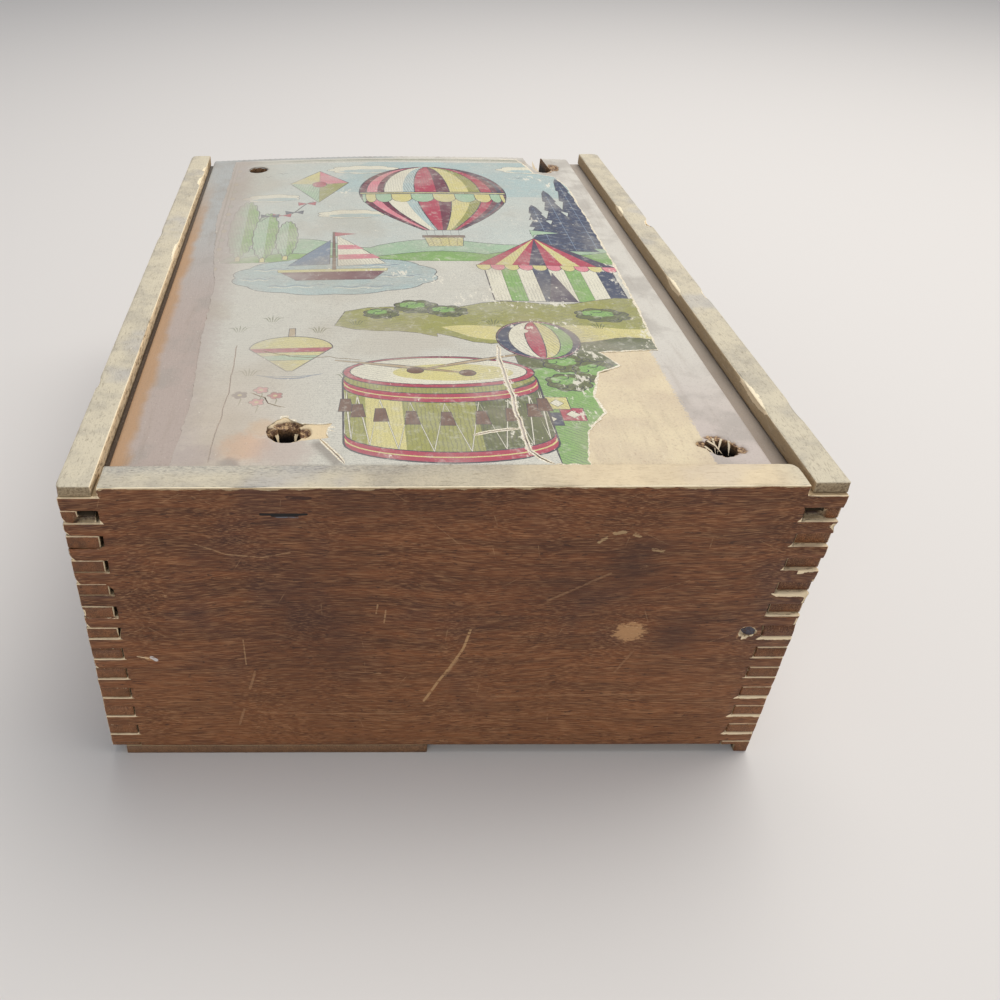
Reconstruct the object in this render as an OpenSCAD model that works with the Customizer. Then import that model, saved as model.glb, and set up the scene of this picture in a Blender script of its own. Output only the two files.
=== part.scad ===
// Wooden toy box with finger-jointed corners and a sliding lid.
// X runs across the box, Y along it and Z up. The origin is the middle of the
// footprint, on the surface that the box stands on. The lid slides out along +Y.

/* [Box] */
// Outside width, over both side boards
box_w = 230; // [160:1:320]
// Outside length, over both end boards
box_l = 324; // [220:1:420]
// Height of the side boards and of the near end board
box_h = 119; // [80:0.5:180]
// Thickness of each side board
side_t = 10.3; // [9:0.1:14]
// Thickness of each end board
end_t = 11.5; // [8:0.1:16]

/* [Finger joints] */
// Height of one finger, which is also the height of one gap
finger_h = 4.76; // [4:0.02:8]
// Height of the side board's cut-down finger above the first joint row
top_finger_h = 3.7; // [2:0.1:4.5]
// Empty slot left behind each side finger, where the notch was cut too deep
root_gap = 1.7; // [0:0.1:3]
// How far the left side's near finger ends sit behind the near face
left_setback = 0.4; // [0:0.1:2]
// How far the right side's near finger ends sit behind the near face
right_setback = 1.3; // [0:0.1:3]

/* [Lid groove] */
// Height of the rail that is left above each groove
rail_h = 5.5; // [4:0.1:7.5]
// Height of each groove
groove_h = 5; // [4:0.1:6]
// Depth of each groove into the side board
groove_d = 5.2; // [3:0.1:6]

/* [Lid] */
// Thickness of the lid board
lid_t = 7.4; // [6:0.1:8.5]
// Thickness of the tongue along each long edge
tongue_t = 4.4; // [3:0.1:4.6]
// Air under the tongue when the lid is centred in its grooves
lid_fit = 0.25; // [0.1:0.05:0.6]
// Air between each tongue's edge and the bottom of its groove
side_play = 0.6; // [0.3:0.1:1.5]
// How far the cupped lid rises in the middle
lid_crown = 2.4; // [0:0.1:2.6]
// Air between the lid's near edge and the near end board
near_play = 0.3; // [0.1:0.1:2]
// Gap between the left rail and the thick middle of the lid
left_gap = 2; // [1:0.1:6]
// Gap between the right rail and the thick middle of the lid
right_gap = 6.3; // [1:0.1:8]

/* [Lid holes] */
// Diameter of the four holes bored through the lid
hole_d = 9.5; // [6:0.1:14]
// Near left hole, from the left rail to its middle
near_left_from_rail = 55.4; // [14:0.1:62]
// Near left hole, from the near end board to its middle
near_left_from_end = 19; // [8:0.1:80]
// Near right hole, from the right rail to its middle
near_right_from_rail = 18.7; // [16:0.1:62]
// Near right hole, from the near end board to its middle
near_right_from_end = 12.8; // [8:0.1:80]
// Far left hole, from the left rail to its middle
far_left_from_rail = 28.6; // [14:0.1:62]
// Far left hole, from the lid's far edge to its middle
far_left_from_edge = 21.5; // [8:0.1:80]
// Far right hole, from the right rail to its middle
far_right_from_rail = 23.2; // [16:0.1:62]
// Far right hole, from the lid's far edge to its middle
far_right_from_edge = 21.2; // [8:0.1:80]
// Width of the broken notch at the lid's far edge
notch_w = 10.5; // [6:0.5:14]
// How far the notch leans to the left on its way from the far right hole
notch_lean = 3.7; // [0:0.1:8]

/* [Print] */
// Thickness of the paper print
print_t = 0.2; // [0.1:0.05:0.4]
// Bare strip between the left rail and the print
print_left_margin = 12.7; // [6:0.1:40]
// Bare strip between the right rail and the print
print_right_margin = 15.7; // [8:0.1:24]
// Bare strip between the print and the lid's far edge
print_far_margin = 5; // [0:0.5:20]
// Paper lost round each hole, as a radius beyond the hole's own
print_hole_loss = 1; // [0:0.1:4]

/* [Bottom] */
// Thickness of the two bottom planks
bottom_t = 4; // [3:0.1:5.5]
// Width of the rebate in each side board that takes a plank's edge
rebate_w = 5.3; // [3:0.1:6]
// Distance from the middle of the box to the joint between the planks
plank_joint_x = -0.8; // [-20:0.1:20]
// Open joint between the two planks
plank_gap = 0.5; // [0.2:0.1:2]
// Mean length broken off the right plank's near end
plank_loss = 8; // [4:0.5:11]
// Depth of the splintered edge there
splinter = 1.8; // [0:0.1:3]
// Length of the left side's lower lip that is broken off at the near corner
lip_loss = 14; // [2:1:40]

/* [Nails] */
// Diameter of a bottom nail's shank
nail_d = 1.6; // [1:0.1:2.2]
// Diameter of a bottom nail's head
nail_head_d = 4; // [2.6:0.1:5]
// Thickness of a bottom nail's head
nail_head_t = 0.8; // [0.4:0.1:1.2]
// Length of a bottom nail
nail_l = 15; // [10:0.5:25]
// Nails along each side board
side_nails = 5; // [2:1:9]
// Distance from the box's ends to the first nail of such a row
side_nail_inset = 32; // [20:1:60]
// Nails across each plank's end
end_nails = 3; // [1:1:5]
// Distance from a plank's edges to the first nail of such a row
end_nail_inset = 18; // [8:1:30]
// Diameter of the repair nail's shank
repair_d = 2; // [1.2:0.1:2.4]
// Diameter of the repair nail's head
repair_head_d = 4.4; // [3:0.1:4.7]
// Thickness of the repair nail's head
repair_head_t = 0.9; // [0.5:0.1:1.5]
// Depth of the head's rim below the near face
repair_recess = 0.1; // [0:0.1:1]
// Length of the repair nail
repair_l = 21; // [14:0.5:24]
// Distance from the box's right face to the repair nail's head
repair_inset = 15; // [14:0.1:18]
// Joint row, counted from the top, that the repair nail is driven into
repair_row = 6; // [1:1:9]
// Slant of the repair nail, towards the side board
repair_slant = 30; // [20:1:35]

/* [Hidden] */
near_y = -box_l / 2;
far_y = box_l / 2;
half_w = box_w / 2;
inner_x = half_w - side_t;
root_x = inner_x - root_gap;
groove_top = box_h - rail_h;
groove_floor = groove_top - groove_h;

// A row is one gap for a side finger with one end finger below or above it.
row_h = 2 * finger_h;
rows = floor((box_h - top_finger_h - bottom_t + finger_h) / row_h);
far_rows = [for (i = [0 : rows - 1]) if (end_finger_top(i) <= groove_floor) i];
function end_finger_top(i) = box_h - top_finger_h - i * row_h;
function end_finger_foot(i) = end_finger_top(i) - finger_h;

// The lid at rest
lid_floor = groove_floor + lid_fit;
lid_near = near_y + end_t + near_play;
lid_far = far_y;
tongue_x = inner_x + groove_d - side_play;
field_l = -(inner_x - left_gap);
field_r = inner_x - right_gap;
field_mid = (field_l + field_r) / 2;
field_half = (field_r - field_l) / 2;
crown_steps = 24;
function crown(x) = lid_crown * (1 - pow(min(1, abs(x - field_mid) / field_half), 2));
field_xs = [for (i = [0 : crown_steps]) field_l + (field_r - field_l) * i / crown_steps];

far_right_hole = [inner_x - far_right_from_rail, lid_far - far_right_from_edge];
holes = [
    [near_left_from_rail - inner_x, near_y + end_t + near_left_from_end],
    [inner_x - near_right_from_rail, near_y + end_t + near_right_from_end],
    [far_left_from_rail - inner_x, lid_far - far_left_from_edge],
    far_right_hole
];

// The print, with its torn near right corner measured from its own right and near edges
print_left = print_left_margin - inner_x;
print_right = inner_x - print_right_margin;
print_far = lid_far - print_far_margin;
print_tear = [[-46, 0], [-43, 19], [-35, 30], [-36, 41], [-31, 57], [-22, 63], [-27, 73],
              [-13, 77], [0, 78]];

plank_edge_x = inner_x + rebate_w;
side_nail_x = inner_x + rebate_w / 2;
side_nail_pitch = (box_l - 2 * side_nail_inset) / (side_nails - 1);
end_nail_depth = end_t / 2;
repair_x = half_w - repair_inset;
repair_z = (end_finger_foot(repair_row - 1) + end_finger_top(repair_row)) / 2;
repair_sink = repair_head_d / 2 * sin(repair_slant) + repair_recess;

// How far each point of the right plank's broken end stands out or in, as a share of its depth
break_line = [0.1, 0.9, -0.4, 0.6, -1, 0.3, -0.7, 1, -0.2, 0.5];

over = 1;
round_fn = 32;

wood_side = "#8b6b4a";
wood_end = "#7d5438";
wood_bottom = "#9a7a58";
wood_lid = "#9d948a";
paper = "#b9b7a8";
iron = "#4b4743";

// A block given by its lowest and highest corners
module block(low, high) {
    translate(low) cube(high - low);
}

// What is drawn for the right side, on both sides
module both_sides() {
    children();
    mirror([1, 0, 0]) children();
}

// Gaps for the end board's fingers, cut into a side board's end from y0 to y1
module side_gaps(y0, y1, row_list) {
    for (i = row_list)
        block([inner_x - over, y0, end_finger_foot(i)], [half_w + over, y1, end_finger_top(i)]);
}

// A side board, drawn as the right one
module side_board(setback) {
    difference() {
        block([inner_x, near_y + setback, 0], [half_w, far_y, box_h]);
        side_gaps(near_y - over, near_y + end_t, [0 : rows - 1]);
        side_gaps(far_y - end_t, far_y + over, far_rows);
        block([inner_x - over, near_y - over, groove_floor],
              [inner_x + groove_d, far_y + over, groove_top]);
        block([inner_x - over, near_y - over, -over],
              [plank_edge_x, far_y + over, bottom_t]);
    }
}

module left_side() {
    color(wood_side)
    difference() {
        mirror([1, 0, 0]) side_board(left_setback);
        block([-half_w - over, near_y - over, -over],
              [-plank_edge_x + over, near_y + lip_loss, bottom_t]);
        bottom_nail_set();
    }
}

module right_side() {
    color(wood_side)
    difference() {
        side_board(right_setback);
        bottom_nail_set();
        repair_nail_hole();
    }
}

// An end board from y0 to y1, notched for the side fingers at both ends
module end_board(y0, y1, top_z, first_row) {
    difference() {
        block([-half_w, y0, bottom_t], [half_w, y1, top_z]);
        both_sides() {
            block([root_x, y0 - over, end_finger_top(first_row)],
                  [half_w + over, y1 + over, top_z + over]);
            for (i = [first_row : rows - 1])
                block([root_x, y0 - over,
                       i == rows - 1 ? bottom_t - over : end_finger_top(i + 1)],
                      [half_w + over, y1 + over, end_finger_foot(i)]);
        }
    }
}

module near_end() {
    color(wood_end)
    difference() {
        end_board(near_y, near_y + end_t, box_h, 0);
        bottom_nail_set();
        repair_nail_hole();
    }
}

module far_end() {
    color(wood_end)
    difference() {
        end_board(far_y - end_t, far_y, groove_floor, far_rows[0]);
        bottom_nail_set();
    }
}

module bottom_left_plank() {
    color(wood_bottom)
    difference() {
        block([-plank_edge_x, near_y, 0], [plank_joint_x - plank_gap / 2, far_y, bottom_t]);
        bottom_nail_set();
    }
}

module bottom_right_plank() {
    left_x = plank_joint_x + plank_gap / 2;
    last = len(break_line) - 1;
    torn = [for (i = [0 : last])
        [left_x + (plank_edge_x - left_x) * i / last,
         near_y + plank_loss + splinter * break_line[i]]];
    color(wood_bottom)
    difference() {
        linear_extrude(bottom_t)
            polygon(concat(torn, [[plank_edge_x, far_y], [left_x, far_y]]));
        bottom_nail_set();
    }
}

// A nail driven upwards, its head flush with the underside of the planks
module bottom_nail(x, y) {
    translate([x, y, 0]) {
        cylinder(h = nail_head_t, d = nail_head_d, $fn = round_fn);
        cylinder(h = nail_l, d = nail_d, $fn = round_fn);
    }
}

// The row of nails across one plank's end
module end_nail_row(x0, x1, y) {
    span = x1 - x0 - 2 * end_nail_inset;
    for (i = [0 : end_nails - 1])
        bottom_nail(x0 + end_nail_inset + (end_nails > 1 ? span * i / (end_nails - 1) : span / 2), y);
}

module bottom_nail_set() {
    both_sides()
        for (i = [0 : side_nails - 1])
            bottom_nail(side_nail_x, near_y + side_nail_inset + i * side_nail_pitch);
    end_nail_row(-plank_edge_x, plank_joint_x, near_y + end_nail_depth);
    end_nail_row(-plank_edge_x, plank_joint_x, far_y - end_nail_depth);
    end_nail_row(plank_joint_x, plank_edge_x, far_y - end_nail_depth);
}

module bottom_nails() {
    color(iron) bottom_nail_set();
}

// Places a nail at the repair, driven aslant through the near end into the right side
module at_repair() {
    translate([repair_x, near_y + repair_sink, repair_z])
        rotate([0, 0, -repair_slant])
        rotate([-90, 0, 0])
        children();
}

module repair_nail_body() {
    at_repair() {
        cylinder(h = repair_head_t, d = repair_head_d, $fn = round_fn);
        cylinder(h = repair_l, d = repair_d, $fn = round_fn);
    }
}

// The nail's own hole, with the pocket that its sunk head has crushed
module repair_nail_hole() {
    repair_nail_body();
    at_repair()
        translate([0, 0, -repair_head_d])
        cylinder(h = repair_head_d + over / 2, d = repair_head_d, $fn = round_fn);
}

module repair_nail() {
    color(iron) repair_nail_body();
}

// The lid's section: a flat tongue on each side of the cupped, thicker field
module lid_section() {
    polygon(concat(
        [[-tongue_x, lid_floor]],
        [for (x = field_xs) [x, lid_floor + crown(x)]],
        [[tongue_x, lid_floor], [tongue_x, lid_floor + tongue_t], [field_r, lid_floor + tongue_t]],
        [for (i = [crown_steps : -1 : 0]) [field_xs[i], lid_floor + lid_t + crown(field_xs[i])]],
        [[field_l, lid_floor + tongue_t], [-tongue_x, lid_floor + tongue_t]]));
}

// Runs a section drawn in X and Z along the box from y0 to y1
module run_along(y0, y1) {
    translate([0, y1, 0]) rotate([90, 0, 0]) linear_extrude(y1 - y0) children();
}

module lid_panel() {
    h = box_h + 2 * over;
    color(wood_lid)
    difference() {
        run_along(lid_near, lid_far) lid_section();
        for (p = holes)
            translate([p[0], p[1], 0]) cylinder(h = h, d = hole_d, $fn = round_fn);
        lid_notch();
    }
}

// The wood that has broken away between the far right hole and the lid's edge
module lid_notch() {
    hole = far_right_hole;
    mouth_x = hole[0] - notch_lean;
    linear_extrude(box_h + 2 * over)
        polygon([[hole[0] - hole_d / 2, hole[1]],
                 [hole[0] + hole_d / 2, hole[1]],
                 [mouth_x + notch_w / 2, lid_far + over],
                 [mouth_x - notch_w / 2, lid_far + over]]);
}

// The paper's section, which follows the top of the cupped lid
module print_section() {
    low = lid_floor + lid_t;
    polygon(concat(
        [for (x = field_xs) [x, low + crown(x)]],
        [for (i = [crown_steps : -1 : 0]) [field_xs[i], low + print_t + crown(field_xs[i])]]));
}

module lid_print() {
    tear = [for (p = print_tear) [print_right + p[0], lid_near + p[1]]];
    loss_d = hole_d + 2 * print_hole_loss;
    color(paper)
    difference() {
        intersection() {
            run_along(lid_near, print_far) print_section();
            linear_extrude(box_h + over)
                polygon(concat([[print_left, lid_near]], tear,
                               [[print_right, print_far], [print_left, print_far]]));
        }
        for (p = holes)
            translate([p[0], p[1], 0]) cylinder(h = box_h + over, d = loss_d, $fn = round_fn);
        lid_notch();
    }
}

left_side();
right_side();
near_end();
far_end();
bottom_left_plank();
bottom_right_plank();
bottom_nails();
repair_nail();
lid_panel();
lid_print();
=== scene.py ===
import bmesh
import bpy
import math
from bisect import bisect_left
from mathutils import Matrix, Vector, noise
from mathutils.geometry import delaunay_2d_cdt


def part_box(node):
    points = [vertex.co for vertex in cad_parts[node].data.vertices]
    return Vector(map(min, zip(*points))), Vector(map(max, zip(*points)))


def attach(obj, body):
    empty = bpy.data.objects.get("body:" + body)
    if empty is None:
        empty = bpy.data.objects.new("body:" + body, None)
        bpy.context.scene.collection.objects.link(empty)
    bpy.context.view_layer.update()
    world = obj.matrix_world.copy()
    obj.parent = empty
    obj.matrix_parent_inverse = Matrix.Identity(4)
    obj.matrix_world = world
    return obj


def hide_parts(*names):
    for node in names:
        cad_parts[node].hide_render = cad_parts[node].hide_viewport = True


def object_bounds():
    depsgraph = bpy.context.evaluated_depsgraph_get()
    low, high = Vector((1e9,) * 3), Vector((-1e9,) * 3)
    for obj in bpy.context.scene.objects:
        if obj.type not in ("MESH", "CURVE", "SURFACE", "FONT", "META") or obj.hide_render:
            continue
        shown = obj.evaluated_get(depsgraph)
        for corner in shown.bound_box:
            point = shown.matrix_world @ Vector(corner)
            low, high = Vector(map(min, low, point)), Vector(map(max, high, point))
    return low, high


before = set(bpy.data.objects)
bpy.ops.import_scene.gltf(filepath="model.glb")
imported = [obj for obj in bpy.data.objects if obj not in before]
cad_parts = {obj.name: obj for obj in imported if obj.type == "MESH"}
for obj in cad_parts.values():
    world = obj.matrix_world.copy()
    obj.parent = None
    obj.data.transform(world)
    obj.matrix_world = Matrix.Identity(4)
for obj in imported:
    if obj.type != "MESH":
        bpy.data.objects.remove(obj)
cad_low, cad_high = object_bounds()
bpy.ops.object.select_all(action="DESELECT")


# Side boards
# Two long softwood boards with fingers cut in both ends, a groove for the lid and a rebate for the
# bottom. Their outsides are stained brown, and their tops have weathered to a pale greyish cream.

MM = 0.001
HALF_WIDTH = cad_high.x / MM
HALF_LENGTH = cad_high.y / MM
BOX_TOP = cad_high.z / MM
FINGER = 4.76
RAIL_FOOT = BOX_TOP - 6
SHORTEST_ARRIS = 1.5
CHIP_TO_BARE_WOOD = 0.55


def colour(code):
    """A hex sRGB colour as the linear values that a shader's socket takes."""
    parts = [int(code[i:i + 2], 16) / 255 for i in (0, 2, 4)]
    return tuple(c / 12.92 if c <= 0.04045 else ((c + 0.055) / 1.055) ** 2.4 for c in parts) + (1,)


def lumps(point, size, seed=0):
    """Smooth noise from -1 to 1 whose lumps are about size millimetres across."""
    return noise.noise(Vector((point.x / size + seed, point.y / size - seed, point.z / size)))


def fade(value, start, end):
    """0 at start, 1 at end, smooth between."""
    t = min(1, max(0, (value - start) / (end - start)))
    return t * t * (3 - 2 * t)


def rows(start, end, step):
    """Places from start to end, no further apart than step."""
    count = math.ceil((end - start) / step)
    return [start + (end - start) * i / count for i in range(count + 1)]


def board_copy(node, name, arris, cuts):
    """A closed copy of a CAD board with eased arrises, its faces cut across at the given places."""
    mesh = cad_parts[node].data.copy()
    mesh.name = name
    mesh.materials.clear()
    board = bpy.data.objects.new(name, mesh)
    bpy.context.scene.collection.objects.link(board)
    bpy.context.view_layer.objects.active = board
    board.select_set(True)
    bpy.ops.object.mode_set(mode="EDIT")
    bpy.ops.mesh.select_all(action="SELECT")
    bpy.ops.mesh.remove_doubles(threshold=1e-6)
    bpy.ops.mesh.dissolve_limited(angle_limit=0.02)
    solid = bmesh.from_edit_mesh(mesh)
    for edge in solid.edges:
        sharp = edge.is_manifold and edge.calc_face_angle_signed(0) > 0.5
        edge.select = sharp and edge.calc_length() > SHORTEST_ARRIS * MM
    solid.select_flush_mode()
    bmesh.update_edit_mesh(mesh)
    bpy.ops.mesh.bevel(offset=arris * MM, segments=2, affect="EDGES", clamp_overlap=True)
    solid = bmesh.from_edit_mesh(mesh)
    for axis, places in enumerate(cuts):
        across = Vector([float(axis == i) for i in range(3)])
        for place in places:
            parts = solid.verts[:] + solid.edges[:] + solid.faces[:]
            bmesh.ops.bisect_plane(solid, geom=parts, dist=1e-7, plane_co=across * place * MM,
                                   plane_no=across)
    bmesh.update_edit_mesh(mesh)
    bpy.ops.object.mode_set(mode="OBJECT")
    board.select_set(False)
    return board


def rub_round(point, corner, inward, reach):
    """The point drawn in to an arc where an upright corner is rubbed round."""
    u = (point.x - corner[0]) * inward[0]
    v = (point.y - corner[1]) * inward[1]
    gap = math.hypot(reach - u, reach - v)
    if u < reach and v < reach and gap > reach:
        point.x = corner[0] + inward[0] * (reach - (reach - u) * reach / gap)
        point.y = corner[1] + inward[1] * (reach - (reach - v) * reach / gap)


def rubbed_top(radius):
    """How far a corner is rubbed round at each height, when only its top is worn."""
    return lambda z: radius * fade(z, BOX_TOP - 9, BOX_TOP - 1)


def wear_board(board, coated, corners=(), chips=(), sink=None, bright=None, patched=None):
    """Rubs a board's arrises and marks its finish in two colour attributes.

    "finish" holds stain in red, rubbed arrises with painted highlights in green, a weathered top in blue and
    a darkening towards the foot in alpha.
    "patches" holds bare tan in red, dark stain in green, and soiling with painted shade in blue.
    """
    mesh = board.data
    finish = mesh.color_attributes.new("finish", "FLOAT_COLOR", "POINT")
    patches = mesh.color_attributes.new("patches", "FLOAT_COLOR", "POINT")
    points = [vertex.co / MM for vertex in mesh.vertices]
    normals = [vertex.normal.copy() for vertex in mesh.vertices]
    for index, (point, normal) in enumerate(zip(points, normals)):
        arris = min(1, (1 - max(abs(c) for c in normal)) / 0.2)
        depth = 0.05 + 0.05 * lumps(point, 25)
        depth += arris * (0.06 + 0.3 * max(0, lumps(point, 4, 3)) + 0.2 * max(0, lumps(point, 1.5, 7)))
        chipped = 0.0
        for place, size, cut in chips:
            if abs(point.x - place[0]) < size[0] and abs(point.y - place[1]) < size[1]:
                near = max(0, 1 - sum(((p - c) / s) ** 2 for p, c, s in zip(point, place, size)))
                depth += cut * near
                chipped = max(chipped, 2.5 * near if cut > CHIP_TO_BARE_WOOD else 0.0)
        stain = coated(point, normal)
        # bright lifts the worn amount into painted highlights on faces that catch the light, and lowers it on
        # others.
        boost = bright(point, normal) if bright else 1.0
        arris = max(arris, 0.45) if boost >= 2 else arris
        arris = max(arris * boost, chipped)
        top = fade(normal.z, 0.3, 0.8) * fade(point.z, BOX_TOP - 1.5, BOX_TOP - 0.3)
        # Darker towards the foot, within 7 mm of the floor.
        darkening = 1 - fade(point.z, 0, 7)
        finish.data[index].color = (stain, arris, top, darkening)
        patches.data[index].color = (patched(point, normal) if patched else (0, 0, 0)) + (1,)
        point -= normal * depth
        if sink:
            sink(point, normal)
        for corner, inward, reach in corners:
            if reach(point.z) > 0:
                rub_round(point, corner, inward, reach(point.z))
        for axis in range(3):
            point[axis] = min(cad_high[axis] / MM, max(cad_low[axis] / MM, point[axis]))
    mesh.vertices.foreach_set("co", [c * MM for point in points for c in point])
    mesh.update()
    bpy.context.view_layer.objects.active = board
    board.select_set(True)
    bpy.ops.object.shade_smooth_by_angle(angle=math.radians(48))
    board.select_set(False)


class Finish:
    """One material, built node by node. A plain value is set on a socket, an output is linked to it."""

    def __init__(self, name):
        self.material = bpy.data.materials.new(name)
        self.material.use_nodes = True
        self.tree = self.material.node_tree
        self.shader = self.tree.nodes["Principled BSDF"]
        place = self.node("TexCoord", {}).outputs["Object"]
        self.place = self.vector("MULTIPLY", place, (1000, 1000, 1000))

    def put(self, socket, value):
        if isinstance(value, bpy.types.NodeSocket):
            self.tree.links.new(value, socket)
        else:
            socket.default_value = value

    def node(self, kind, inputs, **settings):
        made = self.tree.nodes.new("ShaderNode" + kind)
        for key, value in settings.items():
            setattr(made, key, value)
        for key, value in inputs.items():
            self.put(made.inputs[key], value)
        return made

    def vector(self, operation, a, b):
        return self.node("VectorMath", {0: a, 1: b}, operation=operation).outputs[0]

    def maths(self, operation, a, b=0.0):
        return self.node("Math", {0: a, 1: b}, operation=operation).outputs[0]

    def times(self, a, b):
        return self.maths("MULTIPLY", a, b)

    def plus(self, a, b):
        return self.maths("ADD", a, b)

    def minus(self, a, b):
        return self.maths("SUBTRACT", a, b)

    def noise(self, vector, scale, detail=2.0, rough=0.5):
        """Noise whose lumps are about 1/scale millimetres across."""
        made = self.node("TexNoise", {"Vector": vector, "Scale": scale, "Detail": detail, "Roughness": rough})
        return made.outputs["Fac"]

    def band(self, value, low, high):
        """0 below low, 1 above high, smooth between."""
        inputs = {"Value": value, "From Min": low, "From Max": high}
        return self.node("MapRange", inputs, interpolation_type="SMOOTHSTEP").outputs[0]

    def mix(self, factor, a, b, blend="MIX"):
        made = self.node("Mix", {0: factor, 6: a, 7: b}, data_type="RGBA", blend_type=blend)
        return made.outputs[2]

    def shades(self, factor, low, high):
        """A tone between two hex colours."""
        return self.mix(factor, colour(low), colour(high))

    def tint(self, tone, code, factor, strength=None):
        """The tone with a hex colour over it, at full strength where no other is given."""
        factor = factor if strength is None else self.times(factor, strength)
        return self.mix(factor, tone, colour(code))

    def blend(self, factor, a, b):
        made = self.node("Mix", {0: factor, 2: a, 3: b}, data_type="FLOAT")
        return made.outputs[0]

    def attribute(self, name):
        """The red, green, blue and alpha of a colour attribute."""
        read = self.node("Attribute", {}, attribute_name=name)
        parts = self.node("SeparateColor", {0: read.outputs["Color"]}).outputs
        return parts[0], parts[1], parts[2], read.outputs["Alpha"]

    def scratches(self, u, v, cell, length, width, kept, lean):
        """Straight scratches on the plane of u and v, at most one in each cell of a random net."""
        spot = self.node("CombineXYZ", {0: self.maths("DIVIDE", u, cell), 1: self.maths("DIVIDE", v, cell)})
        net = self.node("TexVoronoi", {"Vector": spot.outputs[0], "Scale": 1.0}, voronoi_dimensions="2D")
        off = self.vector("SUBTRACT", spot.outputs[0], net.outputs["Position"])
        off_u, off_v = self.node("SeparateXYZ", {0: off}).outputs[:2]
        pick = self.node("SeparateColor", {0: net.outputs["Color"]}).outputs
        turn = self.times(self.minus(pick[0], 0.5), lean)
        sine, cosine = self.maths("SINE", turn), self.maths("COSINE", turn)
        along = self.plus(self.times(off_u, cosine), self.times(off_v, sine))
        aside = self.minus(self.times(off_v, cosine), self.times(off_u, sine))
        aside, along = self.maths("ABSOLUTE", aside), self.maths("ABSOLUTE", along)
        line = self.band(aside, width / cell, width * 0.4 / cell)
        line = self.times(line, self.band(along, length / cell, length * 0.5 / cell))
        return self.times(line, self.maths("LESS_THAN", pick[1], kept))

    def gap(self, point, start, end):
        """Millimetres from a flat point to a straight line between two places."""
        start, span = Vector(start + (0,)), Vector(end + (0,)) - Vector(start + (0,))
        away = self.vector("SUBTRACT", point, tuple(start))
        share = self.node("VectorMath", {0: away, 1: tuple(span)}, operation="DOT_PRODUCT").outputs["Value"]
        inputs = {0: share, 1: 1 / span.length_squared}
        share = self.node("Math", inputs, operation="MULTIPLY", use_clamp=True).outputs[0]
        nearest = self.node("VectorMath", {0: tuple(span), "Scale": share}, operation="SCALE")
        away = self.vector("SUBTRACT", away, nearest.outputs[0])
        return self.node("VectorMath", {0: away}, operation="LENGTH").outputs["Value"]

    def distance(self, place):
        """Millimetres from the shaded point to a place."""
        made = self.node("VectorMath", {0: self.place, 1: place}, operation="DISTANCE")
        return made.outputs["Value"]

    def relief(self, height, depth, strength=1.0):
        """Bump from a height of 0 to 1 that stands depth millimetres."""
        inputs = {"Height": height, "Distance": depth * MM, "Strength": strength}
        return self.node("Bump", inputs).outputs[0]

    def finish(self, colour_socket, roughness, normal):
        self.put(self.shader.inputs["Base Color"], colour_socket)
        self.put(self.shader.inputs["Roughness"], roughness)
        self.put(self.shader.inputs["Normal"], normal)
        return self.material


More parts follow.
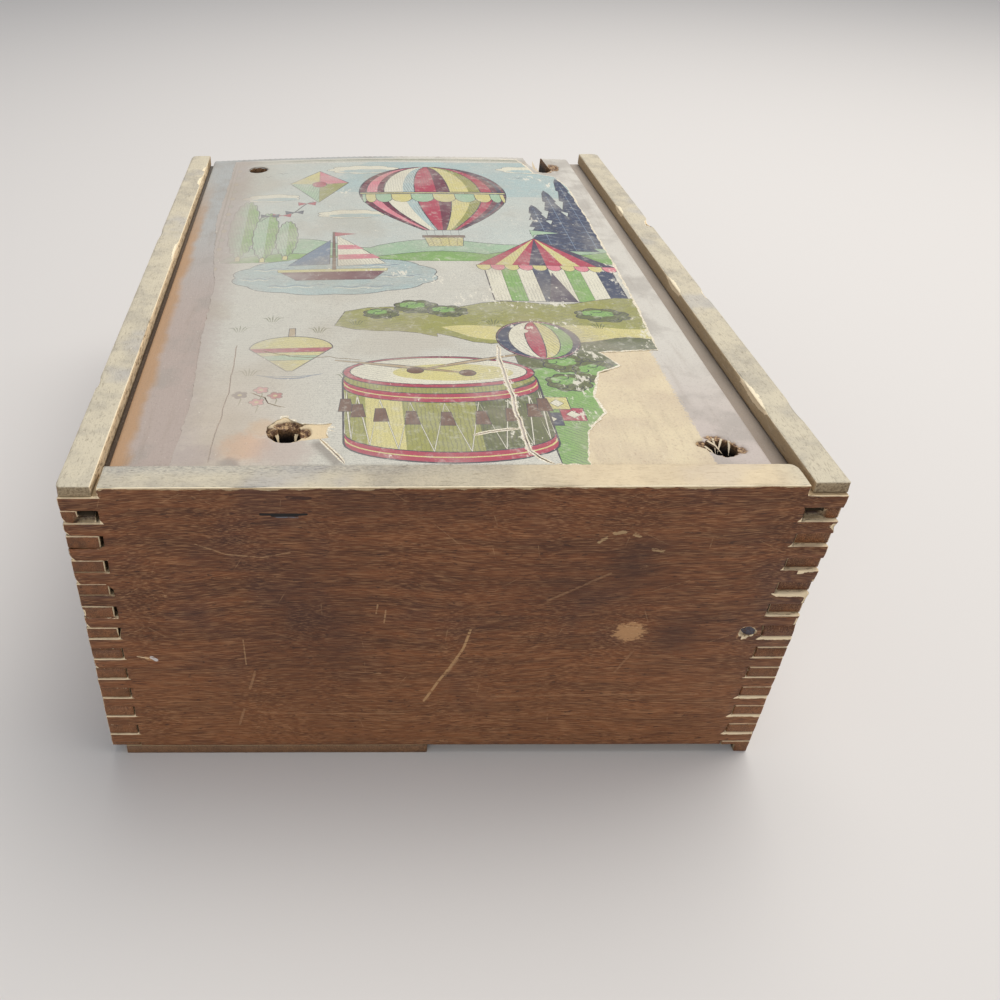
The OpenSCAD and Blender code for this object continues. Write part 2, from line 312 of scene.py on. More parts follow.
def old_wood(name, along, dark, brown, light, marks=()):
    """Stained softwood with its grain along one axis, worn bare on arrises and weathered on top."""
    wood = Finish(name)
    # The finish's green is rubbed arrises with painted highlights, its alpha a darkening towards the foot.
    stain, wear_and_highlight, top, darkening = wood.attribute("finish")
    # The patches' blue is soiling with painted shade.
    tan, plum, grime_and_shade = wood.attribute("patches")[:3]
    x_place, y_place, z_place = wood.node("SeparateXYZ", {0: wood.place}).outputs
    run = (x_place, y_place)[along]
    drift = wood.node("TexNoise", {"Vector": wood.place, "Scale": 0.018, "Detail": 1.0}).outputs["Color"]
    bent = wood.vector("ADD", wood.place, wood.vector("MULTIPLY", drift, (9.0, 9.0, 9.0)))

    def stretched(share):
        squeeze = [1.0, 1.0, 1.0]
        squeeze[along] = share
        return wood.vector("MULTIPLY", bent, squeeze)

    grain, short, hairs = stretched(0.09), stretched(0.3), stretched(0.035)
    figure = wood.noise(grain, 0.3, 4.0, 0.6)
    fibre = wood.noise(grain, 1.5, 3.0, 0.7)
    hair = wood.noise(hairs, 2.4, 2.0, 0.6)
    thread = wood.noise(hairs, 5.2, 1.0, 0.5)
    patch = wood.noise(wood.place, 0.028, 3.0, 0.6)
    rough_patch = wood.noise(wood.place, 0.07, 4.0, 0.65)
    speck = wood.noise(wood.place, 0.8, 3.0, 0.7)
    fleck = wood.band(wood.noise(short, 1.1, 2.0, 0.6), 0.62, 0.72)
    pores = wood.band(wood.noise(grain, 2.6, 2.0, 0.5), 0.6, 0.74)

    stained = wood.shades(wood.band(figure, 0.3, 0.7), dark, brown)
    stained = wood.tint(stained, "4c2f26", wood.band(patch, 0.48, 0.68), 0.6)
    stained = wood.tint(stained, light, wood.band(z_place, 75.0, 0.0), 0.4)
    hair = wood.times(wood.band(hair, 0.54, 0.7), wood.band(rough_patch, 0.35, 0.62))
    low_hair = wood.plus(0.38, wood.times(wood.band(z_place, 70.0, 5.0), 0.35))
    stained = wood.tint(stained, "b5865b", hair, low_hair)
    stained = wood.tint(stained, "b0835a", wood.band(thread, 0.52, 0.68), 0.5)
    stained = wood.tint(stained, "3b2216", wood.band(thread, 0.46, 0.32), 0.6)
    stained = wood.tint(stained, "331c14", fleck, 0.65)
    stained = wood.tint(stained, "2f1c16", wood.band(speck, 0.6, 0.75), 0.18)
    scratch = wood.scratches(run, z_place, 19.0, 9.0, 0.2, 0.3, 1.6)
    scratch = wood.plus(scratch, wood.scratches(z_place, run, 13.0, 3.4, 0.22, 0.16, 1.2))
    scratch = wood.times(scratch, wood.band(speck, 0.4, 0.6))
    stained = wood.tint(stained, "b08a62", scratch, 0.4)
    crumbs = wood.minus(wood.noise(short, 1.4, 4.0, 0.75), 0.5)
    ragged_tan = wood.plus(tan, wood.times(crumbs, 1.7))
    stained = wood.tint(stained, "3e251c", plum, 0.72)
    tan_tone = wood.shades(wood.band(hair, 0.2, 0.8), "ba8c5f", "dbb486")
    stained = wood.mix(wood.times(wood.band(ragged_tan, 0.42, 0.62), 0.85), stained, tan_tone)
    slits = 0.0
    flat = wood.node("CombineXYZ", {0: run, 1: z_place}).outputs[0]
    flat = wood.vector("ADD", flat, wood.vector("MULTIPLY", drift, (2.5, 2.5, 0.0)))
    flat = wood.vector("SUBTRACT", flat, (1.25, 1.25, 0.0))
    near_half = wood.maths("LESS_THAN", y_place, 0.0) if marks else 0.0
    for width, soft, code, strength, lines in marks:
        gap = 100.0
        for start, end in [pair for line in lines for pair in zip(line, line[1:])]:
            gap = wood.maths("MINIMUM", gap, wood.gap(flat, start, end))
        mark = wood.times(wood.band(gap, width / 2 + soft, width / 2), near_half)
        slits = wood.maths("MAXIMUM", mark, slits) if strength > 0.9 else slits
        if strength <= 0.9:
            mark = wood.plus(wood.times(mark, 0.8), wood.times(crumbs, 2.0))
            mark = wood.times(wood.band(mark, 0.5, 0.8), wood.band(mark, 0.3, 0.5))
        stained = wood.tint(stained, code, mark, strength)

    bare = wood.shades(top, "b59c78", "cdc3ab")
    soft_grey = wood.times(top, wood.band(rough_patch, 0.4, 0.72))
    bare = wood.tint(bare, "a9a294", soft_grey, 0.7)
    violet = wood.times(top, wood.band(patch, 0.54, 0.68))
    bare = wood.tint(bare, "a5a6ad", violet, 0.4)
    bare = wood.tint(bare, "dfd5bd", wood.band(fibre, 0.52, 0.78), 0.35)
    smudge = wood.times(wood.band(speck, 0.56, 0.72), wood.band(rough_patch, 0.3, 0.6))
    bare = wood.tint(bare, "857761", smudge, 0.42)
    grit = wood.noise(short, 2.6, 3.0, 0.7)
    bare = wood.tint(bare, "6f6556", wood.band(grit, 0.55, 0.68), 0.4)
    behind = wood.times(top, wood.band(y_place, -157.5, -152.5)) if along == 0 else 0.0
    behind = wood.times(behind, wood.band(x_place, 25.0, -25.0))
    behind = wood.times(behind, 0.5)
    bare = wood.mix(behind, bare, wood.shades(wood.band(grit, 0.42, 0.6), "bdb9ae", "7f8084"))
    soil = wood.maths("MAXIMUM", wood.times(pores, 0.35), wood.times(fleck, 0.25))
    bare = wood.tint(bare, "6f5d49", soil)
    warm = wood.times(top, wood.band(x_place, 0.0, 45.0)) if along == 0 else 0.0
    warm = wood.times(warm, wood.band(x_place, 106.0, 92.0))
    bare = wood.tint(bare, "f0d3a4", warm, 0.4)

    ragged = wood.minus(wood.noise(short, 0.9, 3.0, 0.7), 0.5)
    coat = wood.band(wood.plus(stain, wood.times(ragged, 1.1)), 0.35, 0.5)
    # The worn mask holds rubbed arrises and painted highlights alike; lit takes them to a near-white bare
    # tone.
    worn = wood.band(wood.plus(wear_and_highlight, wood.times(ragged, 1.6)), 0.72, 0.92)
    cover = wood.times(coat, wood.minus(1.0, worn))
    lit = wood.mix(wood.times(worn, 0.9), bare, wood.shades(top, "f6deb6", "fbeccb"))
    tone = wood.mix(cover, lit, stained)
    dust = wood.noise(wood.place, 1.3, 4.0, 0.75)
    # Joints, slots and recesses flagged in the patches' blue get a near-black painted shade, with some
    # soiling.
    dusty_shade = wood.shades(wood.band(dust, 0.42, 0.6), "9c8b6f", "5e4f3b")
    grime_and_shade_tone = wood.tint(dusty_shade, "1a120d", wood.band(grime_and_shade, 0.6, 1.0))
    tone = wood.mix(wood.times(wood.band(grime_and_shade, 0.0, 0.6), 0.8), tone, grime_and_shade_tone)
    # The tone is multiplied darker towards the foot of each board.
    tone = wood.mix(wood.times(darkening, 0.3), tone, colour("6a5040"), "MULTIPLY")

    height = wood.plus(wood.times(fibre, 0.6), wood.times(figure, 0.3))
    height = wood.minus(height, wood.times(pores, 0.4))
    height = wood.minus(height, slits)
    gloss = wood.blend(cover, 0.85, wood.blend(fibre, 0.46, 0.66))
    wood.put(wood.shader.inputs["Specular IOR Level"], 0.35)
    return wood.finish(tone, gloss, wood.relief(height, 0.25, 0.8))


def finger_depth(z):
    """How far each of the right side board's finger ends lies below the face of the end board."""
    return 0.22 + 0.2 * noise.noise(Vector((4.1, round(z / FINGER) * 7.3, 4.1)))


def broken(point, normal):
    """Whether a place is on the inner part of the finger below the groove, which has broken out."""
    at_end = point.y < 2 - HALF_LENGTH and normal.y < -0.3
    return at_end and 104.6 < point.z < 109.4 and HALF_WIDTH - abs(point.x) > 5.4


side_wood = old_wood("side board wood", 1, "59351d", "7d4b2a", "925f39")
side_cuts_y = [s * (HALF_LENGTH - d) for s in (-1, 1) for d in (0.9, 2, 3.2, 4.6)]
side_cuts_y += rows(-150, -40, 1.8) + rows(-37, 150, 3.2)
side_chips = {
    "left_side": [((-104.7, 118, BOX_TOP), (2.2, 9, 3), 1.1), ((-104.7, 138, BOX_TOP), (2, 5, 3), 1.3),
                  ((-104.7, 20, BOX_TOP), (1.6, 14, 2), 0.6), ((-104.7, -60, BOX_TOP), (1.5, 20, 2), 0.5),
                  ((-115, -100, BOX_TOP), (1.5, 4, 2), 0.6), ((-115, 40, BOX_TOP), (1.5, 6, 2), 0.5),
                  ((-115, -162, 106.0), (1.6, 1.6, 2.4), 0.8), ((-115, -162, 98.0), (1.3, 1.3, 1.6), 0.6),
                  ((-115, -162, 69.0), (1.5, 1.5, 2.2), 0.8), ((-115, -162, 50.5), (1.4, 1.4, 1.8), 0.7)],
    "right_side": [((115, 52, BOX_TOP), (3.2, 5, 2.5), 1.8), ((115, -30, BOX_TOP), (1.5, 5, 2), 0.7),
                   ((104.7, -20, BOX_TOP), (1.8, 12, 3), 0.8), ((104.7, 70, BOX_TOP), (1.6, 9, 3), 0.7),
                   ((104.7, -110, BOX_TOP), (1.6, 16, 3), 0.7), ((115, -120, BOX_TOP), (1.5, 7, 2), 0.5),
                   ((115, -162, 78.0), (1.4, 1.4, 1.6), 0.6), ((115, -162, 59.5), (1.8, 1.8, 1.8), 0.8)],
}
for node, side in (("left_side", -1), ("right_side", 1)):
    cuts = ([side * (HALF_WIDTH - d) for d in (1.4, 3.2, 5.5, 7.8, 9.2)],
            side_cuts_y,
            [BOX_TOP - d for d in (1.3, 2.6, 4.2)] + rows(2, 108, 4))
    board = board_copy(node, node + "_board", 0.4, cuts)

    def coated(point, normal):
        outward = max(fade(normal.x * side, 0.5, 0.8), fade(abs(normal.y), 0.5, 0.8))
        rail_end = fade(point.z, BOX_TOP - 6.4, BOX_TOP - 5.4) * fade(-normal.y, 0.5, 0.8)
        return outward * fade(BOX_TOP - point.z, 0.1, 1.6) * (1 - rail_end)

    def sink(point, normal):
        """Sets the broken part and the right finger ends in, the left and low right ones out."""
        if broken(point, normal):
            point.y += 3.2
        elif point.y < 2 - HALF_LENGTH and normal.y < -0.5 and point.z < RAIL_FOOT:
            low = fade(66 - point.z, 0, 6)
            if side > 0:
                point.y += finger_depth(point.z) * (1 - low) - 1.2 * low
            else:
                point.y -= 0.3 - 0.2 * low

    # Painted highlight: the left rail's inner face and some faces of the near fingers are worn bright as if
    # lit; down-turned faces are kept dimmer as painted shade.
    def bright(point, normal):
        if point.y > HALF_LENGTH - 14:
            return 0.7
        if side < 0 and point.z > BOX_TOP - 5 and normal.x > 0.5:
            return 2.0
        if point.y > 3 - HALF_LENGTH or point.z > RAIL_FOOT:
            return 1.0
        if normal.x * side < -0.25:
            return 1.9 if side < 0 and point.z > 60 else 0.5
        if normal.z > 0.25:
            return 1.9 if (point.z - 60) * side < 0 else 0.7
        return 0.4 if normal.z < -0.25 else 1.3

    def patched(point, normal):
        """Painted shade with some soiling, most of it in the joint and the broken part, and less on the
        rail's end and inner faces.
        """
        grime_and_shade = 0.0
        in_joint = point.z < BOX_TOP - 5.7 and point.y < 11.2 - HALF_LENGTH
        if broken(point, normal):
            grime_and_shade = 1.0
        elif point.z > RAIL_FOOT and normal.y < -0.5:
            grime_and_shade = 0.5 + 0.25 * fade(BOX_TOP - 3.5 - point.z, -0.6, 0.6)
        elif side < 0 and point.z > RAIL_FOOT and normal.x > 0.5 and point.y < -154:
            grime_and_shade = 0.75 * fade(BOX_TOP - point.z, 1.0, 2.6)
        elif in_joint and normal.y > -0.15 and normal.x * side < 0.5:
            grime_and_shade = 1.0
        elif side > 0 and point.z > RAIL_FOOT and normal.x < -0.5:
            grime_and_shade = 0.15
        return 0.0, 0.0, grime_and_shade

    corners = [((side * HALF_WIDTH, HALF_LENGTH), (-side, -1), rubbed_top(4.5)),
               ((side * HALF_WIDTH, -HALF_LENGTH), (-side, 1), rubbed_top(3.0))]
    wear_board(board, coated, corners, side_chips[node], sink, bright, patched)
    board.data.materials.append(side_wood)
    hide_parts(node)
    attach(board, "box")


# End boards
# The near end stands as high as the sides and stops the lid. The far end is lower, so that the lid
# slides out over it. Both have their grain across the box and the same brown stain outside.

# Scratches, flakes and slits of the near face: width, soft rim, colour, strength, and lines in x and z.
end_marks = [
    (0.6, 0.5, "bd9567", 0.75, [[(9.6, 61.8), (8.2, 53.5), (4.6, 44.5), (1.0, 37.5), (-3.4, 28.0)]]),
    (0.4, 0.7, "ab835c", 0.5, [[(6.8, 48.5), (3.4, 40.5)], [(-66.0, 23.6), (-68.0, 15.5)],
                               [(-61.2, 42.5), (-63.4, 34.0)]]),
    (0.25, 0.35, "b08a62", 0.6, [[(-76.2, 97.7), (-67.0, 93.8), (-56.0, 92.8), (-47.7, 94.9)],
                                 [(-64.3, 57.6), (-64.0, 45.9)], [(-22.4, 41.8), (-19.0, 41.4)],
                                 [(-21.0, 73.0), (-21.5, 69.0)], [(-18.4, 70.5), (-18.8, 65.0)]]),
    (0.35, 0.7, "a37c58", 0.4, [[(33.0, 75.0), (51.0, 86.0)], [(60.0, 42.0), (64.0, 52.0)]]),
    (0.3, 1.2, "c2a376", 0.6, [[(45.6, 98.2), (47.4, 99.9)], [(49.6, 101.6), (52.6, 102.0)],
                               [(55.6, 101.2), (57.2, 100.6)], [(62.0, 95.4), (65.0, 94.9)]]),
    (0.2, 0.5, "a9805a", 0.45, [[(-60.0, 22.0), (-10.0, 21.4)], [(20.0, 30.0), (90.0, 31.0)],
                                [(-12.0, 3.2), (105.0, 3.6)]]),
    (0.3, 0.2, "dcc29a", 0.9, [[(-100.0, 49.8), (-96.6, 49.0)]]),
    (1.1, 0.35, "d3cdc8", 0.9, [[(-95.4, 49.4), (-94.1, 48.2)]]),
    (0.7, 0.6, "3a2018", 0.9, [[(-48.0, 115.5), (-41.6, 115.2)]]),
    (0.4, 0.3, "6a6a70", 0.8, [[(-51.6, 108.6), (-45.2, 108.5)]]),
    # The two near-black marks are painted shade in a slit cut into the face, with a bump dip.
    (0.45, 0.25, "15100e", 1.0, [[(-55.8, 109.6), (-42.6, 109.5)]]),
    (0.95, 0.25, "120d0b", 1.0, [[(-52.4, 109.3), (-45.4, 109.3)]]),
]
end_wood = old_wood("end board wood", 0, "59331c", "7f4b29", "935f38", end_marks)
end_chips = [((-60, -HALF_LENGTH, BOX_TOP), (7, 1.5, 1.6), 0.5),
             ((30, -HALF_LENGTH, BOX_TOP), (9, 1.5, 1.5), 0.5),
             ((92, -HALF_LENGTH, BOX_TOP), (7, 1.5, 1.6), 0.3),
             ((-100, -HALF_LENGTH, BOX_TOP), (4, 1.5, 1.6), 0.35),
             ((-115, -162, 101.5), (1.4, 1.6, 1.8), 0.7), ((-115, -162, 92.0), (1.2, 1.4, 1.6), 0.6),
             ((-115, -162, 82.5), (1.3, 1.5, 1.8), 0.7), ((-115, -162, 64.0), (1.3, 1.5, 1.8), 0.7),
             ((-115, -162, 45.0), (1.2, 1.3, 1.4), 0.6), ((115, -162, 103.5), (2.6, 1.6, 1.8), 0.9),
             ((115, -162, 73.8), (2.4, 1.8, 2.0), 0.9), ((115, -162, 64.4), (2.0, 1.8, 1.8), 0.9),
             ((115, -162, 83.0), (1.4, 1.4, 1.4), 0.6), ((115, -162, 12.0), (1.4, 1.4, 2.2), 0.7)]
ROOT = HALF_WIDTH - 12
near_end = board_copy("near_end", "near_end_board", 0.45, (
    [x for x in rows(-113, 113, 1.25) if not -0.7 < abs(x) - ROOT < 2.3],
    [-HALF_LENGTH + d for d in (1.2, 3, 6, 9)],
    [BOX_TOP - d for d in (1.0, 1.9, 2.8)] + rows(2, 115, 2.4)))


def finger_end(point, normal):
    """1 on the ends of an end board's fingers, which the outside's stain covers as well."""
    return fade(abs(normal.x), 0.5, 0.8) * fade(abs(point.x), HALF_WIDTH - 3, HALF_WIDTH - 2)


def near_coated(point, normal):
    ragged = 0.5 * lumps(point, 5, 2) + 0.4 * lumps(point, 1.7, 4)
    outward = max(fade(-normal.y, 0.4, 0.8), finger_end(point, normal))
    return outward * fade(BOX_TOP - point.z + ragged, 0.3, 1.5)


def near_sink(point, normal):
    """Fills most of the slots behind the side boards' fingers, wholly so in the lower rows."""
    in_slot = abs(abs(point.x) - ROOT) < 0.5 and point.z < RAIL_FOOT
    if in_slot and (abs(normal.x) > 0.3 or abs(normal.z) > 0.7):
        point.x += math.copysign(0.6 + 0.85 * fade(63 - point.z, 0, 4), point.x)


# Painted highlight on the top front arris and on most up-turned finger faces; the slot walls and down-turned
# faces are kept dimmer, as painted shade.
def near_bright(point, normal):
    if point.z > BOX_TOP - 4 or abs(point.x) < ROOT - 1.5:
        return 1.8 if normal.y < -0.2 and normal.z > 0.2 else 1.0
    if abs(point.x) < ROOT + 2 and abs(normal.z) < 0.35:
        return 0.35
    if normal.z > 0.25:
        return 2.0 if point.x > 0 or point.z < 60 or point.z > 100 else 0.8
    return 0.4 if normal.z < -0.25 else 1.2


def finger_corner(z):
    """How far the outer corner of each of the end board's fingers is rubbed round."""
    return 1.1 + 0.8 * noise.noise(Vector((round(z / FINGER) * 5.3, 2.2, z / 9)))


# Patches of the near face: 0 for bare tan or 1 for dark stain, x and z, half sizes, strength.
patch_places = [(0, 61.5, 60.8, 6.0, 4.6, 1.0), (0, 97.0, 59.6, 1.2, 1.8, 0.9), (0, 4, 5.9, 4, 1.2, 0.8),
                (0, -96.5, 49, 3.5, 1.5, 0.8), (0, -88, 76, 8, 5, 0.35), (0, 62, 88, 5, 3, 0.3),
                (1, 57, 88, 8, 11, 0.9), (1, 76, 60, 8, 9, 0.9), (1, -42, 62, 22, 30, 0.5),
                (1, 40, 80, 30, 14, 0.4), (1, -20, 112, 40, 6, 0.4), (1, 60, 97, 9, 2.2, 1.0)]


def near_patched(point, normal):
    """The near face's own worn and darkened places, and painted shade in the slots of the joints."""
    found = [0.0, 0.0, 0.0]
    if normal.y < -0.5:
        for channel, x, z, rx, rz, strength in patch_places:
            near = ((point.x - x) / rx) ** 2 + ((point.z - z) / rz) ** 2
            found[channel] = max(found[channel], strength * math.exp(-near))
    elif normal.z > 0.5 and point.z > BOX_TOP - 2:
        found[2] = 0.24 * math.exp(-((point.x + 5) / 45) ** 2)
    elif abs(point.x) > ROOT - 2 and point.z < BOX_TOP - 5 and normal.y > -0.2:
        found[2] = 0.9 if normal.z < 0.5 else 0.0 if point.x > 0 else 0.3
    return tuple(found)


wear_board(near_end, near_coated, [((103, -150.5), (-1, -1), rubbed_top(4.0)),
                                   ((HALF_WIDTH, -HALF_LENGTH), (-1, 1), finger_corner),
                                   ((-HALF_WIDTH, -HALF_LENGTH), (1, 1), finger_corner)],
           end_chips, near_sink, near_bright, near_patched)
far_cuts = (rows(-112, 112, 3), [HALF_LENGTH - 5], rows(2, 106, 4))
far_end = board_copy("far_end", "far_end_board", 0.4, far_cuts)


def far_coated(point, normal):
    return max(fade(normal.y, 0.4, 0.8), finger_end(point, normal)) * fade(106.5 - point.z, -2, 0.5)


wear_board(far_end, far_coated, bright=lambda point, normal: 0.7)
for board, node in ((near_end, "near_end"), (far_end, "far_end")):
    board.data.materials.append(end_wood)
    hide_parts(node)
    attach(board, "box")


# Bottom planks
# Two thin unfinished planks laid in the rebate side by side and nailed up into the side boards. The
# near end of the right one has split away and left a dark gap.

plank_wood = old_wood("bottom plank wood", 1, "5f412b", "7f5a3c", "8d6846")
for node in ("bottom_left_plank", "bottom_right_plank"):
    low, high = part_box(node)
    board = board_copy(node, node + "_board", 0.3, (
        rows(low.x / MM + 2, high.x / MM - 2, 8), rows(low.y / MM + 2, high.y / MM - 2, 4), ()))
    wear_board(board, lambda point, normal: fade(-normal.y, 0.3, 0.6), bright=lambda point, normal: 0.4)
    board.data.materials.append(plank_wood)
    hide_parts(node)
    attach(board, "box")


# Nails
# Nineteen cut nails hold the bottom, and one later round-headed nail was driven into the near right
# joint. All are iron, dull and brown with old rust.

iron = Finish("old nail iron")
rust = iron.noise(iron.place, 1.6, 4.0, 0.7)
iron_tone = iron.shades(iron.band(rust, 0.48, 0.68), "5a5962", "54392b")
iron.put(iron.shader.inputs["Metallic"], 0.6)
nail_iron = iron.finish(iron_tone, iron.blend(rust, 0.45, 0.8), iron.relief(rust, 0.12))
for node in ("bottom_nails", "repair_nail"):
    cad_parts[node].data.materials.clear()
    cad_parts[node].data.materials.append(nail_iron)


# Lid board
# One softwood board, crowned a little across, with a tongue along each side that runs in a groove.
# Its four holes are chewed at their rims, and the far right one has broken out through the edge.

FIELD_LEFT, FIELD_RIGHT = -102.7, 98.4
FIELD_EDGE_TOP, TONGUE_TOP, LID_CROWN = 116.15, 113.15, 2.4
lid_low, lid_high = (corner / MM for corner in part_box("lid_panel"))
NEAR_LEFT, NEAR_RIGHT, FAR_LEFT, FAR_RIGHT = (-49.3, -131.5), (86, -137.7), (-76.1, 140.5), (81.5, 140.8)
HOLE_RADIUS = 4.75


def arc(x, y, rx, ry, start=0, end=360, count=24):
    """Points along an ellipse. A whole turn leaves out the last point, which would be the first."""
    steps = count if end - start == 360 else count - 1
    turns = [math.radians(start + (end - start) * i / steps) for i in range(count)]
    return [Vector((x + rx * math.cos(a), y + ry * math.sin(a))) for a in turns]


def rough(points, step, amount, seed, closed=True):
    """An outline cut into short steps and pushed about by noise, like broken wood or torn paper."""
    ends = points[1:] + points[:1] if closed else points[1:]
    line = []
    for a, b in zip(points, ends):
        a, b = Vector(a), Vector(b)
        count = max(1, round((b - a).length / step))
        line += [a.lerp(b, i / count) for i in range(count)]
    if not closed:
        line.append(Vector(points[-1]))
    coarse, fine = step * 5, step * 1.6
    for point in line:
        push = noise.noise_vector(Vector((point.x / coarse, point.y / coarse, seed)))
        push += 0.5 * noise.noise_vector(Vector((point.x / fine, point.y / fine, seed + 9)))
        point += amount * push.xy
    return line


def grow(points, width):
    """A closed outline moved outwards by width."""
    moved = []
    for a, b, c in zip(points[-1:] + points[:-1], points, points[1:] + points[:1]):
        a, b, c = Vector(a), Vector(b), Vector(c)
        side = (b - a).normalized() + (c - b).normalized()
        moved.append(b + width * Vector((side.y, -side.x)).normalized())
    return moved


def turned_left(points):
    """The outline, run so that its inside lies to the left."""
    area = sum(a[0] * b[1] - b[0] * a[1] for a, b in zip(points, points[1:] + points[:1]))
    return points if area > 0 else points[::-1]


def partition(loops, points):
    """Triangles on the plane, and for each one the set of loops that it lies in."""
    corners, faces = [], []
    for loop in loops:
        faces.append(list(range(len(corners), len(corners) + len(loop))))
        corners += turned_left(loop)
    made = delaunay_2d_cdt([Vector(c) for c in corners] + points, [], faces, 1, 1e-4)
    return made[0], made[2], [set(inside) for inside in made[5]]


def held(centres, heights, loop):
    """The indices of the centres that a loop winds round. The centres are sorted by their heights, y."""
    sides = [(a.x, a.y, b.x - a.x, b.y - a.y) for a, b in zip(loop, loop[1:] + loop[:1])]
    x0, x1 = min(p.x for p in loop), max(p.x for p in loop)
    y0, y1 = min(p.y for p in loop), max(p.y for p in loop)
    found = []
    for i in range(bisect_left(heights, y0), bisect_left(heights, y1)):
        x, y = centres[i]
        if x0 < x < x1:
            turns = 0
            for ax, ay, dx, dy in sides:
                if (ay <= y) != (ay + dy <= y) and ax + dx * (y - ay) / dy > x:
                    turns += 1 if dy > 0 else -1
            if turns:
                found.append(i)
    return found


def slab(name, corners, triangles, top, bottom):
    """A closed solid: the triangles at one height, again at another, and walls along their edges."""
    used = sorted({i for triangle in triangles for i in triangle})
    index = {old: new for new, old in enumerate(used)}
    count = len(used)
    upper = [tuple(index[i] for i in triangle) for triangle in triangles]
    lower = [tuple(i + count for i in reversed(triangle)) for triangle in upper]
    sides = {(t[i], t[(i + 1) % len(t)]) for t in upper for i in range(len(t))}
    walls = [(a, a + count, b + count, b) for a, b in sorted(sides) if (b, a) not in sides]
    flat = [corners[i] for i in used]
    points = [(p.x * MM, p.y * MM, height(p.x, p.y) * MM) for height in (top, bottom) for p in flat]
    mesh = bpy.data.meshes.new(name)
    mesh.from_pydata(points, [], upper + lower + walls)
    piece = bpy.data.objects.new(name, mesh)
    bpy.context.scene.collection.objects.link(piece)
    return piece


def lid_top(x, y):
    """Height of the lid's top, without the wear round its holes."""
    middle, half = (FIELD_LEFT + FIELD_RIGHT) / 2, (FIELD_RIGHT - FIELD_LEFT) / 2
    inside = half - abs(x - middle)
    if inside < 0.01:
        return TONGUE_TOP
    rounding = 0.9 * (1 - min(1, inside / 1.2)) ** 3
    ends = 0.45 * (1 - min(1, min(y - lid_low.y, lid_high.y - y) / 0.9)) ** 2
    warp = 0.12 * noise.noise(Vector((x / 30, y / 45, 2)))
    return FIELD_EDGE_TOP + LID_CROWN * (1 - (1 - inside / half) ** 2) - rounding - ends - 0.12 + warp


def chewed(x, y):
    """How far the wood round the holes is chewed down."""
    depth = 0
    for (hx, hy), radius, width, slope in lid_holes:
        away = math.hypot(x - hx, y - hy) - radius
        if away < width:
            ragged = 0.6 + 0.5 * noise.noise(Vector((x / 1.6, y / 1.6, 5)))
            depth = max(depth, slope * ragged * (1 - max(0, away) / width) ** 2)
    for x0, y0, x1, y1, cut in dents:
        near = ((x - x0) / x1) ** 2 + ((y - y0) / y1) ** 2
        if near < 1:
            depth = max(depth, cut * (1 - near) * (0.8 + 0.5 * noise.noise(Vector((x / 1.1, y / 1.1, 8)))))
    return depth


lid_holes = [(NEAR_LEFT, 4.9, 1.6, 1.1), (NEAR_RIGHT, 5.0, 1.8, 1.2), (FAR_LEFT, 5.0, 1.2, 0.6),
             (FAR_RIGHT, 4.9, 2.0, 1.0)]
dents = [(-54.8, -131, 3.2, 4.4, 3.2), (-49, -126.2, 5.5, 2.6, 2.6), (-43.6, -131, 2.4, 3.4, 2.8),
         (80.4, -136.5, 2.8, 2.6, 2.2), (91.6, -138.6, 2.4, 3.0, 1.4), (85, -132.4, 4.5, 1.8, 1.2),
         (87.5, 146, 3.4, 8, 2.0), (72.5, 152, 2.5, 9, 0.7)]
rims = [rough(arc(*NEAR_LEFT, 4.9, 5.4), 0.5, 0.75, 1), rough(arc(*NEAR_RIGHT, 5.3, 4.6), 0.5, 0.95, 4),
        rough(arc(*FAR_LEFT, 5.0, 5.2), 0.5, 0.4, 7)]
notch = rough([(83.1, 162), (83.4, 159.8), (83.7, 155.1), (84.3, 147.7), (85.8, 145.1), (86, 141.5),
               (83.7, 138.6), (81.3, 137.4), (79.9, 136.2), (77.4, 136.6), (75.6, 142.5), (74.4, 147.5),
               (73.4, 155.4), (72.9, 162)], 0.7, 0.3, 3, closed=False)
notch[0].y = notch[-1].y = lid_high.y
corner = 4.5
edge_steps = [FIELD_LEFT, FIELD_LEFT + 0.12, FIELD_LEFT + 1.3] + rows(FIELD_LEFT + 4, FIELD_RIGHT - 4, 3)
edge_steps += [FIELD_RIGHT - 1.3, FIELD_RIGHT - 0.12, FIELD_RIGHT]
near_edge = [Vector((x, lid_low.y)) for x in [lid_low.x] + edge_steps + [lid_high.x]]
far_edge = [Vector((x, lid_high.y)) for x in reversed(edge_steps)]
board_outline = (near_edge + arc(lid_high.x - corner, lid_high.y - corner, corner, corner, 0, 90, 8)
                 + [p for p in far_edge if p.x > notch[0].x + 1] + notch
                 + [p for p in far_edge if p.x < notch[-1].x - 1]
                 + arc(lid_low.x + corner, lid_high.y - corner, corner, corner, 90, 180, 8))
lid_points = [Vector((x, y)) for x in rows(FIELD_LEFT + 3, FIELD_RIGHT - 3, 3)
              for y in rows(-147.5, 159.5, 3)]
lid_points += [Vector((x, y)) for y in rows(-149.9, 161.7, 2) for x in (
    FIELD_LEFT, FIELD_LEFT + 0.12, FIELD_LEFT + 0.5, FIELD_LEFT + 1.3,
    FIELD_RIGHT, FIELD_RIGHT - 0.12, FIELD_RIGHT - 0.5, FIELD_RIGHT - 1.3)]
lid_points += [Vector((x, y)) for x in rows(-101, 97, 3) for y in (-149.9, -149.3, 161.1, 161.7)]
for x, y in (NEAR_LEFT, NEAR_RIGHT, FAR_LEFT, FAR_RIGHT):
    lid_points = [p for p in lid_points if (p - Vector((x, y))).length > 10.5]
    for ring in range(14):
        lid_points += arc(x, y, 3.6 + ring * 0.5, 3.6 + ring * 0.5, ring * 3, 360 + ring * 3, 60)
corners, triangles, inside = partition([board_outline] + rims, lid_points)
triangles = [t for t, loops in zip(triangles, inside) if loops == {0}]
lid = slab("lid_board", corners, triangles, lambda x, y: lid_top(x, y) - chewed(x, y), lambda x, y: lid_low.z)


